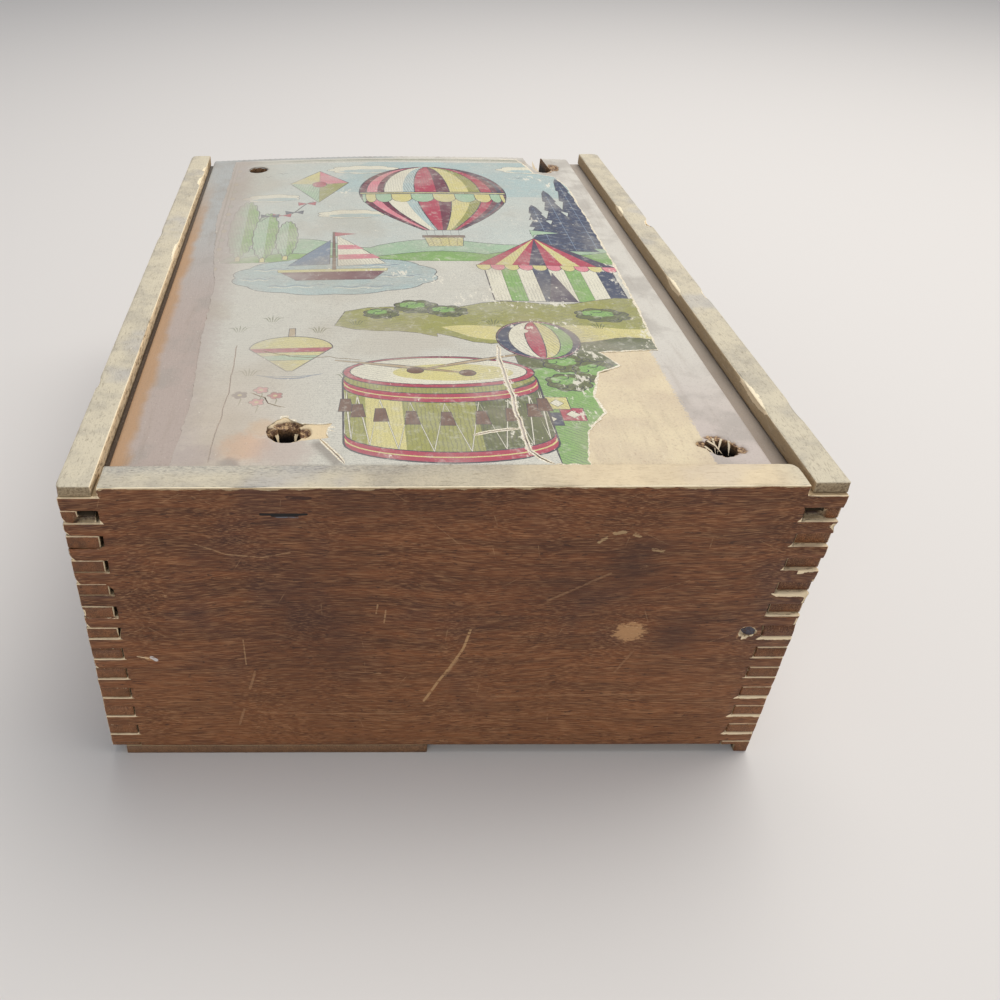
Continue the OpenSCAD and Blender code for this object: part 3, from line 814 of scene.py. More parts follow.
def sliver(start, tip, width):
    """A thin closed spike of torn wood."""
    start, tip = Vector(start), Vector(tip)
    side = (tip - start).cross(Vector((0, 0, 1))).normalized() * width / 2
    drop = Vector((0, 0, -width))
    middle = start.lerp(tip, 0.5) + Vector((0, 0, width * 0.8))
    points = [start + side, start - side, start + drop, middle + side * 0.8, middle - side * 0.8,
              middle + drop, tip]
    faces = [(0, 2, 1), (0, 1, 4, 3), (1, 2, 5, 4), (2, 0, 3, 5), (3, 4, 6), (4, 5, 6), (5, 3, 6)]
    spike = bpy.data.meshes.new("sliver")
    spike.from_pydata([p * MM for p in points], [], faces)
    made = bpy.data.objects.new("sliver", spike)
    bpy.context.scene.collection.objects.link(made)
    return made


slivers = [(82.4, -134.2, 116.4, 86.0, -139.0, 114.4, 0.9), (84.6, -132.6, 116.2, 84.2, -138.6, 113.8, 0.7),
           (87.2, -132.8, 116.2, 84.6, -138.4, 114.2, 0.7), (81.0, -136.4, 115.8, 84.0, -140.4, 113.6, 0.8),
           (80.9, -139.2, 115.6, 83.6, -141.0, 113.4, 0.7), (89.4, -133.6, 116.0, 88.6, -137.8, 112.8, 0.8),
           (-52.9, -127.4, 115.4, -51.8, -130.6, 112.6, 1.3),
           (-46.2, -127.6, 115.2, -46.8, -130.4, 112.4, 1.2),
           (77.0, 138.4, 110.2, 77.4, 156.4, 116.9, 2.2), (79.4, 137.6, 110.0, 78.6, 150.0, 115.2, 1.8),
           (84.4, 146.0, 112.0, 80.2, 143.6, 111.0, 1.6), (85.2, 143.0, 113.0, 81.4, 141.0, 111.6, 1.4)]
spikes = [sliver(spec[:3], spec[3:6], spec[6]) for spec in slivers]
for piece in [lid] + spikes:
    piece.select_set(True)
bpy.context.view_layer.objects.active = lid
bpy.ops.object.join()
bpy.ops.object.shade_smooth_by_angle(angle=math.radians(50))
lid.select_set(False)

lid_state = []
for vertex in lid.data.vertices:
    point = vertex.co / MM
    bare = fade(82 - point.x, -1.5, 4) * fade(point.x, 30, 36) * fade(-68 - point.y, -8, 1)
    bare = max(bare, 0.9 - fade((point.xy - Vector((-39.5, -130.5))).length, 3, 6.5))
    # recess weights the painted shade on the low tongues.
    recess = 1 - fade(point.z, TONGUE_TOP, TONGUE_TOP + 2.5)
    lid_state.append((bare, min(1, chewed(point.x, point.y) * 0.9), recess))
lid_marks = lid.data.color_attributes.new("finish", "FLOAT_COLOR", "CORNER")
for face in lid.data.polygons:
    wall = 1.0 if abs(face.normal.z) < 0.25 else 0.0
    for loop in face.loop_indices:
        state = lid_state[lid.data.loops[loop].vertex_index]
        lid_marks.data[loop].color = (state if face.normal.z > -0.25 else (1.0, 0.0, 0.0)) + (wall,)

timber = Finish("lid board wood")
bare, worn, recess, wall = timber.attribute("finish")
x_place, y_place, z_place = timber.node("SeparateXYZ", {0: timber.place}).outputs
grain = timber.vector("MULTIPLY", timber.place, (1.0, 0.1, 1.0))
figure = timber.noise(grain, 0.35, 4.0, 0.6)
fibre = timber.noise(grain, 1.7, 3.0, 0.7)
cloud = timber.noise(timber.place, 0.05, 4.0, 0.6)
speck = timber.noise(timber.place, 0.9, 3.0, 0.7)
grey = timber.shades(timber.band(y_place, -60.0, 90.0), "ad9e94", "aaaba7")
pale = timber.shades(timber.band(y_place, -140.0, -60.0), "bfb3aa", "cbc6bb")
grey = timber.mix(timber.band(x_place, -5.0, 5.0), grey, pale)
grey = timber.tint(grey, "9a938a", timber.band(cloud, 0.45, 0.65), 0.5)
grey = timber.tint(grey, "cfc9bb", timber.band(speck, 0.62, 0.74), 0.6)
edge = timber.maths("ABSOLUTE", timber.plus(x_place, 2.15))
edge = timber.plus(edge, timber.times(timber.minus(cloud, 0.5), 9.0))
left = timber.band(x_place, 0.0, -1.0)
orange = timber.times(left, timber.band(edge, 93.5, 97.5))
orange = timber.times(orange, timber.band(y_place, 150.0, 20.0))
tone = timber.tint(grey, "b08a63", orange, 0.85)
cream = timber.shades(timber.band(cloud, 0.35, 0.65), "d9c9a8", "cdbca0")
cream = timber.tint(cream, "ab8f78", timber.band(speck, 0.56, 0.7), 0.4)
cream = timber.tint(cream, "ece2c8", timber.band(fibre, 0.6, 0.75), 0.4)
raw = timber.band(timber.plus(bare, timber.times(timber.minus(speck, 0.5), 0.9)), 0.4, 0.6)
tone = timber.mix(raw, tone, cream)
away = timber.plus(timber.distance((-45.0, -130.0, 117.0)), timber.times(speck, 6.0))
tone = timber.tint(tone, "dcc69e", timber.band(away, 22.0, 12.0), 0.85)
gnawed = timber.shades(timber.band(speck, 0.44, 0.66), "5a3a24", "caa87c")
chew = timber.band(timber.plus(worn, timber.times(timber.minus(speck, 0.5), 0.8)), 0.25, 0.7)
tone = timber.mix(chew, tone, gnawed)
# Painted shade on the tongues down in the grooves: near black by the left wall, a paler grey-brown under the
# right rail.
shadow = timber.shades(timber.band(y_place, -60.0, 60.0), "1d140d", "4d4238")
groove_shade = timber.mix(timber.band(x_place, -103.1, -103.6), colour("8f6b47"), shadow)
dusty_shade = timber.shades(timber.band(y_place, -60.0, 60.0), "8d7f70", "a3978a")
groove_shade = timber.mix(timber.band(x_place, -5.0, 5.0), groove_shade, dusty_shade)
groove_shade = timber.tint(groove_shade, "9d8d76", timber.band(speck, 0.55, 0.72), 0.5)
tone = timber.mix(timber.times(recess, 0.85), tone, groove_shade)
splinters = timber.shades(timber.band(fibre, 0.4, 0.6), "5f4029", "a67e54")
# Painted shade: the walls of the holes and of the field's edges go near black further down.
wall_shade = timber.tint(splinters, "1b120c", timber.band(z_place, 116.5, 112.0))
end_grain = timber.shades(timber.band(figure, 0.4, 0.6), "9a8262", "b9a27e")
outer = timber.band(timber.maths("ABSOLUTE", timber.minus(y_place, 5.9)), 155.3, 155.9)
tongue_edge = timber.band(timber.maths("ABSOLUTE", x_place), 103.5, 104.5)
cut_wood = timber.tint(timber.mix(outer, wall_shade, end_grain), "857663", tongue_edge)
tone = timber.mix(wall, tone, cut_wood)
tone = timber.tint(tone, "8a7a68", timber.band(figure, 0.5, 0.75), 0.18)
pepper = timber.noise(timber.place, 1.3, 3.0, 0.8)
tone = timber.tint(tone, "776c64", timber.band(pepper, 0.52, 0.66), 0.2)
height = timber.plus(timber.times(fibre, 0.5), timber.times(speck, 0.5))
gloss = timber.blend(speck, 0.62, 0.85)
lid.data.materials.append(timber.finish(tone, gloss, timber.relief(height, 0.3, 0.9)))
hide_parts("lid_panel")
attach(lid, "lid")


# Paper print
# A colour print on thin paper glued over the lid, soiled, scuffed, cracked and torn away at its near
# right corner. The picture is a plain toy landscape: a balloon, a kite, a tent, a boat and a drum.

INKS = {"ground": "c9c6b8", "line": "3d3a42", "torn": "e0d8c2", "crimson": "ad3c50", "wine": "6c2a3c",
        "rose": "d3818a", "plum": "473d52", "navy": "39425a", "slate": "6f7f92", "mint": "a2bd9c",
        "green": "83a95e", "olive": "999851", "moss": "656a40", "straw": "cfc583", "cream": "dcd7c0",
        "aqua": "adbfbb", "sky": "c0c6bd", "tan": "ad9673", "brown": "70513f"}
PAPER = 0.2
SHEET_FAR, SHEET_RIGHT = 157, 88.8
picture = []


def paint(points, ink, hatch=0.0, angle=0.0):
    """One flat shape of ink. hatch is how strongly it is ruled with lines, at angle in half turns."""
    picture.append(([Vector(p) for p in points], ink, hatch, angle))


def inked(points, ink, hatch=0.0, angle=0.0, width=0.42):
    """A shape with a dark outline round it."""
    points = turned_left([Vector(p) for p in points])
    paint(grow(points, width), "line")
    paint(points, ink, hatch, angle)


def strip(line, halves):
    """The closed outline of a strip along a line, with its half width at each point."""
    left, right = [], []
    for i, (p, half) in enumerate(zip(line, halves)):
        along = (line[min(i + 1, len(line) - 1)] - line[max(i - 1, 0)]).normalized()
        left.append(p + Vector((-along.y, along.x)) * half)
        right.append(p - Vector((-along.y, along.x)) * half)
    return left + right[::-1]


def stroke(points, width=0.55, ink="line"):
    """A drawn line that thins out at both ends."""
    halves = [width / 2] * len(points)
    halves[0] = halves[-1] = width / 2 * 0.35
    paint(strip([Vector(p) for p in points], halves), ink)


def wave(x0, y0, x1, y1, height, turns, count=14):
    """Points along a wavy line."""
    line = []
    for i in range(count):
        t = i / (count - 1)
        line.append((x0 + (x1 - x0) * t, y0 + (y1 - y0) * t + height * math.sin(t * turns * 2 * math.pi)))
    return line


def puffs(x, y, rx, ry, lobes, depth=0.16):
    """A lobed outline, as of a cloud or a tree's crown."""
    points = []
    for i in range(lobes * 6):
        a = 2 * math.pi * i / (lobes * 6)
        swell = 1 - depth + depth * abs(math.sin(a * lobes / 2))
        points.append((x + rx * swell * math.cos(a), y + ry * swell * math.sin(a)))
    return points


def tapered(x, foot, foot_y, head, head_y):
    """Four corners on both sides of x, half as wide as foot at one height and as head at another."""
    return [(x - foot, foot_y), (x + foot, foot_y), (x + head, head_y), (x - head, head_y)]


# Sky, clouds and far hills
paint([(-84, 8), (88, 8), (88, 150), (-88, 150)], "sky", 0.35, 0.0)
paint(wave(-50, 98, 88, 88, 3, 1.4) + [(88, 150)] + wave(-14, 150, -50, 98, 3, 1.1), "aqua", 0.45, 0.0)
clouds = ((-18, 136, 20, 7, 9), (-66, 92, 15, 6, 7), (-26, 66, 17, 6, 8), (70, 137, 16, 6, 7))
for x, y, rx, ry, lobes in clouds:
    inked(puffs(x, y, rx, ry, lobes), "cream", 0.0, 0.0, 0.3)
    paint(puffs(x + 2, y - ry * 0.35, rx * 0.8, ry * 0.45, lobes), "aqua", 0.5, 0.0)
for x, y in ((-70, 126), (-62, 131), (-8, 112), (-14, 118), (64, 122)):
    stroke([(x - 3, y + 1), (x - 1, y + 1.6), (x, y), (x + 1, y + 1.6), (x + 3, y + 1)], 0.5)
hills = wave(-86, 9, -64, 31, 1.5, 0.5, 6) + wave(-61, 32, -18, 26, 4, 0.8)
inked(hills + wave(-14, 25, 88, 34, 5, 1.2) + [(88, 8)], "mint", 0.7, 0.12)
slopes = [(-82, 8)] + wave(-74, 14, 30, 15, 3, 1.5) + wave(33, 14, 88, 20, 3, 1.0) + [(88, 6)]
inked(slopes, "green", 0.8, 0.9)

# Tall pale trees at the left and dark firs at the right
for x, y, height, width in ((-77, 14, 74, 7), (-66, 12, 58, 6), (-56, 14, 44, 5)):
    inked(tapered(x, 1, y - 4, 1, y + height / 2), "straw")
    crown_line = puffs(x, y + height / 2, width, height / 2, 16, 0.1)
    inked(crown_line, "mint", 0.6, 0.45)
    shade = [(x + abs(px - x) * 0.95, py) for px, py in crown_line if px > x]
    paint([(x + 1.2, y + 1)] + shade + [(x + 1.2, y + height - 1)], "green", 0.9, 0.45)
for x, y, height in ((84, 24, 96), (74, 20, 80), (64, 22, 56)):
    tiers = 6
    line = []
    for k in range(tiers):
        reach = 8.5 * (1 - k / tiers) + 1.6
        level = y + height * k / tiers
        line.append((x + reach, level))
        line.append((x + reach * 0.45, level + height / tiers * 0.9))
    tip = (x, y + height * 1.04)
    fir = line + [tip] + [(2 * x - px, py) for px, py in reversed(line)]
    inked([(min(px, 88.5), py) for px, py in fir], "navy", 0.9, 0.3)
    stroke([(x, y), (x, y + height * 0.9)], 1.0, "slate")
    for k in range(tiers * 2):
        level = y + height * (k + 0.6) / tiers / 2
        reach = 6.0 * (1 - k / tiers / 2)
        stroke([(x - reach, level - 2.4), (x, level), (min(x + reach, 88), level - 2.4)], 0.5, "slate")

# The balloon: striped gores, a scalloped band, ropes and a basket
BALLOON_X, BALLOON_Y, BALLOON_RX, BALLOON_RY, BALLOON_DROP = 16, 98, 37, 42, 54


def balloon_width(y):
    """Half width of the balloon at a height: an ellipse above, drawn in to a neck below."""
    if y > BALLOON_Y:
        return BALLOON_RX * math.sqrt(max(0.0, 1 - ((y - BALLOON_Y) / BALLOON_RY) ** 2))
    return BALLOON_RX * math.cos(min(1.0, (BALLOON_Y - y) / BALLOON_DROP) * 1.34)


def gore(u0, u1, low_y, high_y, ink, hatch, angle):
    """The part of the balloon between two seams and two heights."""
    levels = rows(low_y, high_y, 3.0)
    right = [(BALLOON_X + u1 * balloon_width(y), y) for y in levels]
    left = [(BALLOON_X + u0 * balloon_width(y), y) for y in reversed(levels)]
    paint(right + left, ink, hatch, angle)


low_y, high_y = BALLOON_Y - BALLOON_DROP, BALLOON_Y + BALLOON_RY - 0.4
skin = [(BALLOON_X + balloon_width(y), y) for y in rows(low_y, high_y, 3.0)]
inked(skin + [(2 * BALLOON_X - x, y) for x, y in reversed(skin)], "crimson", 0.0, 0.0, 0.7)
seams = [math.sin(math.radians(a)) for a in (-90, -66, -42, -14, 14, 42, 66, 90)]
gore_inks = ["wine", "rose", "cream", "crimson", "straw", "crimson", "plum"]
for ink, u0, u1 in zip(gore_inks, seams, seams[1:]):
    gore(u0, u1, low_y, high_y, ink, 0.35, 0.5)
    shade = {"straw": "olive", "cream": "aqua"}.get(ink, "wine")
    gore(u0 + (u1 - u0) * 0.62, u1, low_y, high_y, shade, 0.8, 0.45)
for u in seams[1:-1]:
    stroke([(BALLOON_X + u * balloon_width(y), y) for y in rows(low_y, high_y, 3.0)], 0.5)
for k in range(10):
    u0, u1 = math.sin(math.radians(-90 + k * 18)), math.sin(math.radians(-72 + k * 18))
    width = balloon_width(88)
    left_x, right_x = BALLOON_X + u0 * width, BALLOON_X + u1 * width
    swag = arc((left_x + right_x) / 2, 90, (right_x - left_x) / 2, 7, 180, 360, 9)
    inked([(left_x, 96)] + swag + [(right_x, 96)], "straw" if k % 2 else "mint", 0.4, 0.0, 0.35)
gore(-1, 1, 95, 98.5, "navy", 0.5, 0.0)
gore(-1, 1, 96.2, 97.4, "straw", 0.0, 0.0)
for u in (-0.9, -0.45, 0.0, 0.45, 0.9):
    stroke([(BALLOON_X + u * balloon_width(low_y), low_y), (BALLOON_X + u * 8, 36)], 0.45)
basket = [(BALLOON_X - 9, 36), (BALLOON_X - 7.5, 24), (BALLOON_X + 7.5, 24), (BALLOON_X + 9, 36)]
inked(basket, "straw", 0.9, 0.25)
rim = [(BALLOON_X - 9.6, 37), (BALLOON_X - 9.6, 34.5), (BALLOON_X + 9.6, 34.5), (BALLOON_X + 9.6, 37)]
inked(rim, "brown")
for x in (-6, -2, 2, 6):
    stroke([(BALLOON_X + x, 34), (BALLOON_X + x * 0.85, 24.5)], 0.5, "brown")

# The kite and its tail
kite = [(-42, 134), (-27, 114), (-42, 84), (-57, 114)]
inked(kite, "straw", 0.2, 0.2, 0.6)
for a, b, ink in ((0, 1, "rose"), (1, 2, "olive"), (2, 3, "mint"), (3, 0, "straw")):
    inked([(-42, 112), kite[a], kite[b]], ink, 0.6, 0.15 + 0.2 * a, 0.25)
inked(arc(-42, 112, 3.6, 4.4), "crimson", 0.4, 0.2, 0.3)
tail = wave(-42, 84, -70, 58, 4, 1.5, 20)
stroke(tail, 0.6)
for k in (4, 8, 12, 16):
    x, y = tail[k]
    left, right = [(x - 4.5, y + 2.6), (x - 4, y - 2.4)], [(x + 4.5, y + 2.4), (x + 4.2, y - 2.4)]
    for bow in (left, right):
        inked([(x, y)] + bow, "crimson" if k % 8 else "navy", 0.3, 0.2, 0.25)

# The lake and the sailing boat
inked(puffs(-34, -8, 44, 20, 12, 0.05), "aqua", 0.85, 0.0)
for x, y, reach in ((-60, 0, 9), (-16, 2, 10), (-50, -18, 12), (-22, -20, 13), (-66, -10, 7), (-6, -9, 9)):
    stroke(wave(x - reach, y, x + reach, y, 0.7, 2.5), 0.55, "slate")
    stroke(wave(x - reach, y - 1.6, x + reach * 0.6, y - 1.6, 0.6, 2.0), 0.5, "cream")
inked([(-58, -3), (-12, -3), (-18, -12.5), (-50, -12.5)], "wine", 0.7, 0.0, 0.5)
inked([(-58.6, -1.4), (-11.4, -1.4), (-12, -4), (-58, -4)], "straw", 0.3, 0.0, 0.3)
inked([(-35, -2), (-33.6, -2), (-34, 42), (-34.8, 42)], "brown", 0.0, 0.0, 0.3)
inked([(-32.6, 2), (-12, 4), (-20, 18), (-32.8, 38)], "cream", 0.5, 0.4, 0.45)
paint([(-32.4, 9), (-14, 10), (-17.5, 15), (-32.5, 14.5)], "rose", 0.6, 0.0)
paint([(-32.5, 21), (-21, 21), (-24.5, 26), (-32.6, 26)], "rose", 0.6, 0.0)
inked([(-36.4, 4), (-54, 3), (-46, 16), (-36, 32)], "slate", 0.6, 0.6, 0.45)
inked([(-34, 42), (-24, 39.5), (-34, 37)], "crimson", 0.2, 0.0, 0.3)

# The striped tent
TENT_X, TENT_LOW, TENT_EAVE, TENT_TOP, TENT_HALF = 57, -34, 2, 34, 27
stripes = 8
inked(tapered(TENT_X, TENT_HALF, TENT_LOW, TENT_HALF, TENT_EAVE), "green", 0.3, 0.5, 0.6)
inked([(TENT_X - TENT_HALF - 3, TENT_EAVE), (TENT_X + TENT_HALF + 3, TENT_EAVE), (TENT_X, TENT_TOP)],
      "crimson", 0.3, 0.5, 0.6)
for k in range(stripes):
    x0 = TENT_X - TENT_HALF + 2 * TENT_HALF * k / stripes
    x1 = TENT_X - TENT_HALF + 2 * TENT_HALF * (k + 1) / stripes
    ink = ("cream", "green", "cream", "navy")[k % 4]
    paint([(x0, TENT_LOW), (x1, TENT_LOW), (x1, TENT_EAVE), (x0, TENT_EAVE)], ink, 0.45, 0.5)
    stroke([(x0, TENT_LOW), (x0, TENT_EAVE)], 0.4)
    if k % 2:
        wider = 1 + 3 / TENT_HALF
        ends = ((x0, wider, TENT_EAVE), (x1, wider, TENT_EAVE), (x1, 0.06, TENT_TOP - 1.5),
                (x0, 0.06, TENT_TOP - 1.5))
        panel = [(TENT_X + (x - TENT_X) * share, y) for x, share, y in ends]
        paint(panel, "straw" if k % 4 == 1 else "plum", 0.4, 0.5)
for k in range(10):
    x = TENT_X - TENT_HALF - 3 + 6 * (k + 0.5)
    flap = [(x - 3, TENT_EAVE + 0.5)] + arc(x, TENT_EAVE - 1, 3, 4, 180, 360, 7) + [(x + 3, TENT_EAVE + 0.5)]
    inked(flap, "rose" if k % 2 else "straw", 0.2, 0.0, 0.3)
inked([(TENT_X - 5, TENT_LOW), (TENT_X + 6, TENT_LOW), (TENT_X + 1, TENT_EAVE - 7)], "plum", 0.5, 0.45, 0.4)
pennant = [(TENT_X, TENT_TOP), (TENT_X, TENT_TOP + 11), (TENT_X + 13, TENT_TOP + 8),
           (TENT_X + 0.8, TENT_TOP + 5)]
inked(pennant, "mint", 0.4, 0.0, 0.35)

# The meadow, bushes and grass
meadow = wave(-30, -44, 88, -31, 2.5, 2.4) + wave(88, -78, 4, -66, 3.0, 2.2)
inked(meadow + wave(4, -66, -34, -56, 1.5, 1.0, 6), "olive", 0.8, 0.08, 0.35)
paint(wave(6, -58, 88, -56, 1.5, 2.0) + wave(88, -72, 16, -66, 2.0, 2.0), "straw", 0.7, 0.06)
inked(wave(30, -70, 88, -66, 2.0, 1.6) + [(88, -150), (34, -150)], "moss", 0.9, 0.15, 0.35)
inked(wave(34, -92, 70, -88, 2.0, 1.4) + [(70, -150), (34, -150)], "green", 0.9, 0.2, 0.35)
for x, y, rx, ry in ((-2, -40, 9, 6), (10, -44, 8, 5), (70, -46, 11, 6), (-16, -46, 7, 4.5), (48, -86, 9, 7),
                     (58, -92, 9, 8), (46, -100, 8, 6)):
    inked(puffs(x, y, rx, ry, 8), "moss", 0.9, 0.7)
    paint(puffs(x - 1.5, y + 1.4, rx * 0.6, ry * 0.5, 6), "green", 0.6, 0.7)
    for k in range(5):
        turn = math.radians(40 + 65 * k)
        leaf_x, leaf_y = x + rx * 0.6 * math.cos(turn), y + ry * 0.6 * math.sin(turn)
        stroke(arc(leaf_x, leaf_y, rx * 0.22, ry * 0.2, 200, 400, 7), 0.4)
for x, y, ink in ((35, -124, "navy"), (43, -121, "crimson"), (39, -114, "straw")):
    inked(tapered(x, 3.8, y - 3.8, 3.8, y + 3.8), ink, 0.5, 0.3, 0.4)
    inked([(x - 2.2, y), (x, y - 2.2), (x + 2.2, y), (x, y + 2.2)], "cream", 0.2, 0.3, 0.25)
for x, y in ((-58, -52), (-70, -60), (-26, -56), (26, -56), (-64, -94), (-40, -62), (66, -58), (-30, -98)):
    for lean in (-4, -2, 0, 2.2, 4.4):
        blade = [(x + lean * 0.25, y), (x + lean * 0.6, y + 3.4), (x + lean, y + 5.6 - abs(lean) * 0.4)]
        stroke(blade, 0.5, "moss")
for x, y, ink in ((-60, -112, "rose"), (-54, -108, "crimson"), (-66, -107, "plum"), (-59, -104, "rose")):
    stroke([(x, y - 7), (x + 0.6, y - 3), (x, y)], 0.5, "moss")
    inked(puffs(x, y, 2.6, 2.3, 5, 0.35), ink, 0.2, 0.0, 0.3)
    paint(arc(x, y, 0.8, 0.7, 0, 360, 8), "straw")

# The drum with its cords and sticks
DRUM_X, DRUM_LOW, DRUM_HIGH, DRUM_RX, DRUM_RY = 2, -138, -98, 33, 11
body = arc(DRUM_X, DRUM_LOW, DRUM_RX, DRUM_RY, 180, 360, 19)
inked(body + arc(DRUM_X, DRUM_HIGH, DRUM_RX, DRUM_RY, 0, 180, 19), "olive", 0.55, 0.5, 0.7)
shaded = ((10, 9.6), (24, 7), (33, 0))
paint([(DRUM_X + x, DRUM_LOW - drop) for x, drop in shaded]
      + [(DRUM_X + x, DRUM_HIGH - drop) for x, drop in reversed(shaded)], "moss", 0.8, 0.5)
paint([(DRUM_X - 26, DRUM_LOW - 6), (DRUM_X - 14, DRUM_LOW - 9), (DRUM_X - 14, DRUM_HIGH - 9),
       (DRUM_X - 26, DRUM_HIGH - 6)], "straw", 0.3, 0.5)


def drum_side(turn, height):
    """A point on the drum's side: turn in degrees round it, height from 0 at its foot to 1."""
    a = math.radians(turn)
    level = DRUM_LOW + (DRUM_HIGH - DRUM_LOW) * height
    return (DRUM_X + DRUM_RX * math.cos(a), level + DRUM_RY * math.sin(a))


for k in range(9):
    turn = 180 + k * 20
    cord = [drum_side(turn, 0.14), drum_side(turn + 10, 0.86), drum_side(turn + 20, 0.14)]
    stroke(cord, 1.3, "line")
    stroke(cord, 0.8, "cream")
    x, y = drum_side(turn + 10, 0.62)
    inked(tapered(x, 1.5, y + 4, 2.4, y - 4), "brown", 0.4, 0.5, 0.3)
for level in (0.0, 0.88):
    hoop = [drum_side(180 + k * 10, level) for k in range(19)]
    hoop += [drum_side(360 - k * 10, level + 0.13) for k in range(19)]
    inked(hoop, "crimson", 0.4, 0.0, 0.45)
    stroke([drum_side(180 + k * 10, level + 0.065) for k in range(19)], 0.6, "straw")
inked(arc(DRUM_X, DRUM_HIGH + 5, DRUM_RX, DRUM_RY, 0, 360, 40), "crimson", 0.4, 0.0, 0.5)
inked(arc(DRUM_X, DRUM_HIGH + 5.6, DRUM_RX - 2.4, DRUM_RY - 1.6, 0, 360, 40), "cream", 0.35, 0.1, 0.4)
paint(arc(DRUM_X + 5, DRUM_HIGH + 4.6, DRUM_RX - 12, DRUM_RY - 5, 0, 360, 30), "straw", 0.4, 0.1)
for x0, y0, x1, y1 in ((-34, -84, 12, -94), (38, -78, -6, -92)):
    stick = [(x0, y0), ((x0 + x1) / 2, (y0 + y1) / 2), (x1, y1)]
    stroke(stick, 2.4, "line")
    stroke(stick, 1.6, "tan")
    inked(arc(x1, y1, 2.8, 2.0, 0, 360, 14), "brown", 0.3, 0.2, 0.3)

# The ball and the spinning top
BALL_X, BALL_Y, BALL_R = 41, -68, 15
inked(arc(BALL_X, BALL_Y, BALL_R, BALL_R, 0, 360, 36), "rose", 0.3, 0.3, 0.6)
turns = [math.radians(a) for a in range(-86, 87, 12)]
ball_levels = [(BALL_Y + BALL_R * 0.97 * math.sin(a), math.cos(a)) for a in turns]
for u0, u1, ink in ((-1, -0.72, "navy"), (-0.72, -0.3, "cream"), (-0.3, 0.12, "crimson"),
                    (0.12, 0.52, "straw"), (0.52, 0.85, "green"), (0.85, 1, "plum")):
    right = [(BALL_X + u1 * BALL_R * reach - 0.2, y) for y, reach in ball_levels]
    left = [(BALL_X + u0 * BALL_R * reach + 0.2, y) for y, reach in reversed(ball_levels)]
    inked(right + left, ink, 0.5, 0.35, 0.2)
paint(arc(BALL_X - 5, BALL_Y + 7, 2.6, 1.8, 0, 360, 12), "cream")
TOP_X, TOP_Y = -50, -74
inked(tapered(TOP_X, 1.2, TOP_Y + 8, 1, TOP_Y + 16), "tan")
cone = arc(TOP_X, TOP_Y, 15, 9, 0, 180, 19) + [(TOP_X - 1, TOP_Y - 17), (TOP_X + 1, TOP_Y - 17)]
inked(cone, "straw", 0.4, 0.1, 0.5)
inked(tapered(TOP_X, 15, TOP_Y, 12.6, TOP_Y - 3), "crimson", 0.5, 0.0, 0.3)
inked(tapered(TOP_X, 10, TOP_Y - 6, 7.6, TOP_Y - 9), "mint", 0.5, 0.0, 0.3)
for turn in (-20, -12, 6):
    stroke(arc(TOP_X, TOP_Y - 19 + turn * 0.06, 11 + turn * 0.2, 2.6, 195, 345, 9), 0.45, "slate")

# A ruled border along the left and the far edge, with a row of leaves
for inset, width in ((3.0, 0.9), (5.0, 0.45)):
    near, bend, end = (-92 + inset, -150), (-92 + inset, SHEET_FAR - inset), (89, SHEET_FAR - inset)
    for (x0, y0), (x1, y1) in ((near, bend), (bend, end)):
        stroke([(x0 + (x1 - x0) * k / 30, y0 + (y1 - y0) * k / 30) for k in range(31)], width, "moss")
for k in range(26):
    y = -146 + 11.4 * k
    inked(arc(-86.2, y, 1.3, 2.2, 0, 360, 10), "straw" if k % 2 else "mint", 0.2, 0.0, 0.3)

# The sheet's own outline, holes, tears and cracks
sheet_outline = [(-84, lid_low.y), (42.5, lid_low.y), (42.5, -147.7), (46.3, -130.7), (54.3, -119.5),
                 (52.9, -108.6), (58.3, -92.5), (67.4, -87), (61.8, -77.4), (84, -74), (86, -40), (87.5, 0),
                 (88.4, 60), (88.4, 112), (84, 128), (74, 133), (72, 146), (68.5, SHEET_FAR),
                 (-90, SHEET_FAR), (-90.5, 108), (-91.5, 63), (-87, 10), (-84, -18), (-84, -62), (-82, -110)]
outline = rough(sheet_outline, 0.8, 0.55, 11)
inner = rough(grow(turned_left([Vector(p) for p in sheet_outline]), -0.8), 0.8, 0.7, 12)
for point in outline + inner:
    point.y = min(SHEET_FAR, max(lid_low.y, point.y))
    point.x = min(SHEET_RIGHT, point.x)
patch = [(-55.4, -127.2), (-52.6, -123.8), (-50.1, -122.0), (-46.5, -124.8), (-44.2, -126.6), (-39.4, -126.6),
         (-34.9, -126.1), (-35.9, -129.0), (-36.5, -132.0), (-36.2, -134.9), (-39.4, -135.4), (-42.8, -136.0),
         (-45.6, -136.6), (-48.0, -137.4), (-50.6, -137.4), (-53.0, -136.2), (-54.8, -134.0), (-55.6, -130.6)]
crack = [(25.2, -73.1), (24.6, -84.7), (24.9, -99.1), (25.3, -109.3), (24.6, -119), (25.1, -125.2),
         (24.8, -136.9), (25.4, -142.5), (27.6, -146.9), (31.5, -149.4)]
tears = [(crack, 0.6), ([(9, -134), (17, -131.2), (24.6, -129.9)], 0.5),
         ([(-38.9, -135.1), (-37.0, -138.6), (-35.5, -141.1), (-33.1, -145.0), (-31.4, -149.2)], 0.5),
         ([(-61.2, -75), (-50, -80.3), (-42.8, -81.4), (-35.7, -81.7), (-24.3, -84.3)], 0.42),
         ([(-62.6, -105.4), (-57.2, -109.7), (-56, -113), (-50.3, -115.9)], 0.5),
         ([(-69.9, -70.4), (-70, -105.6), (-70.6, -113.5), (-71, -122.9), (-71.8, -133), (-72.5, -146.9)],
          0.36)]
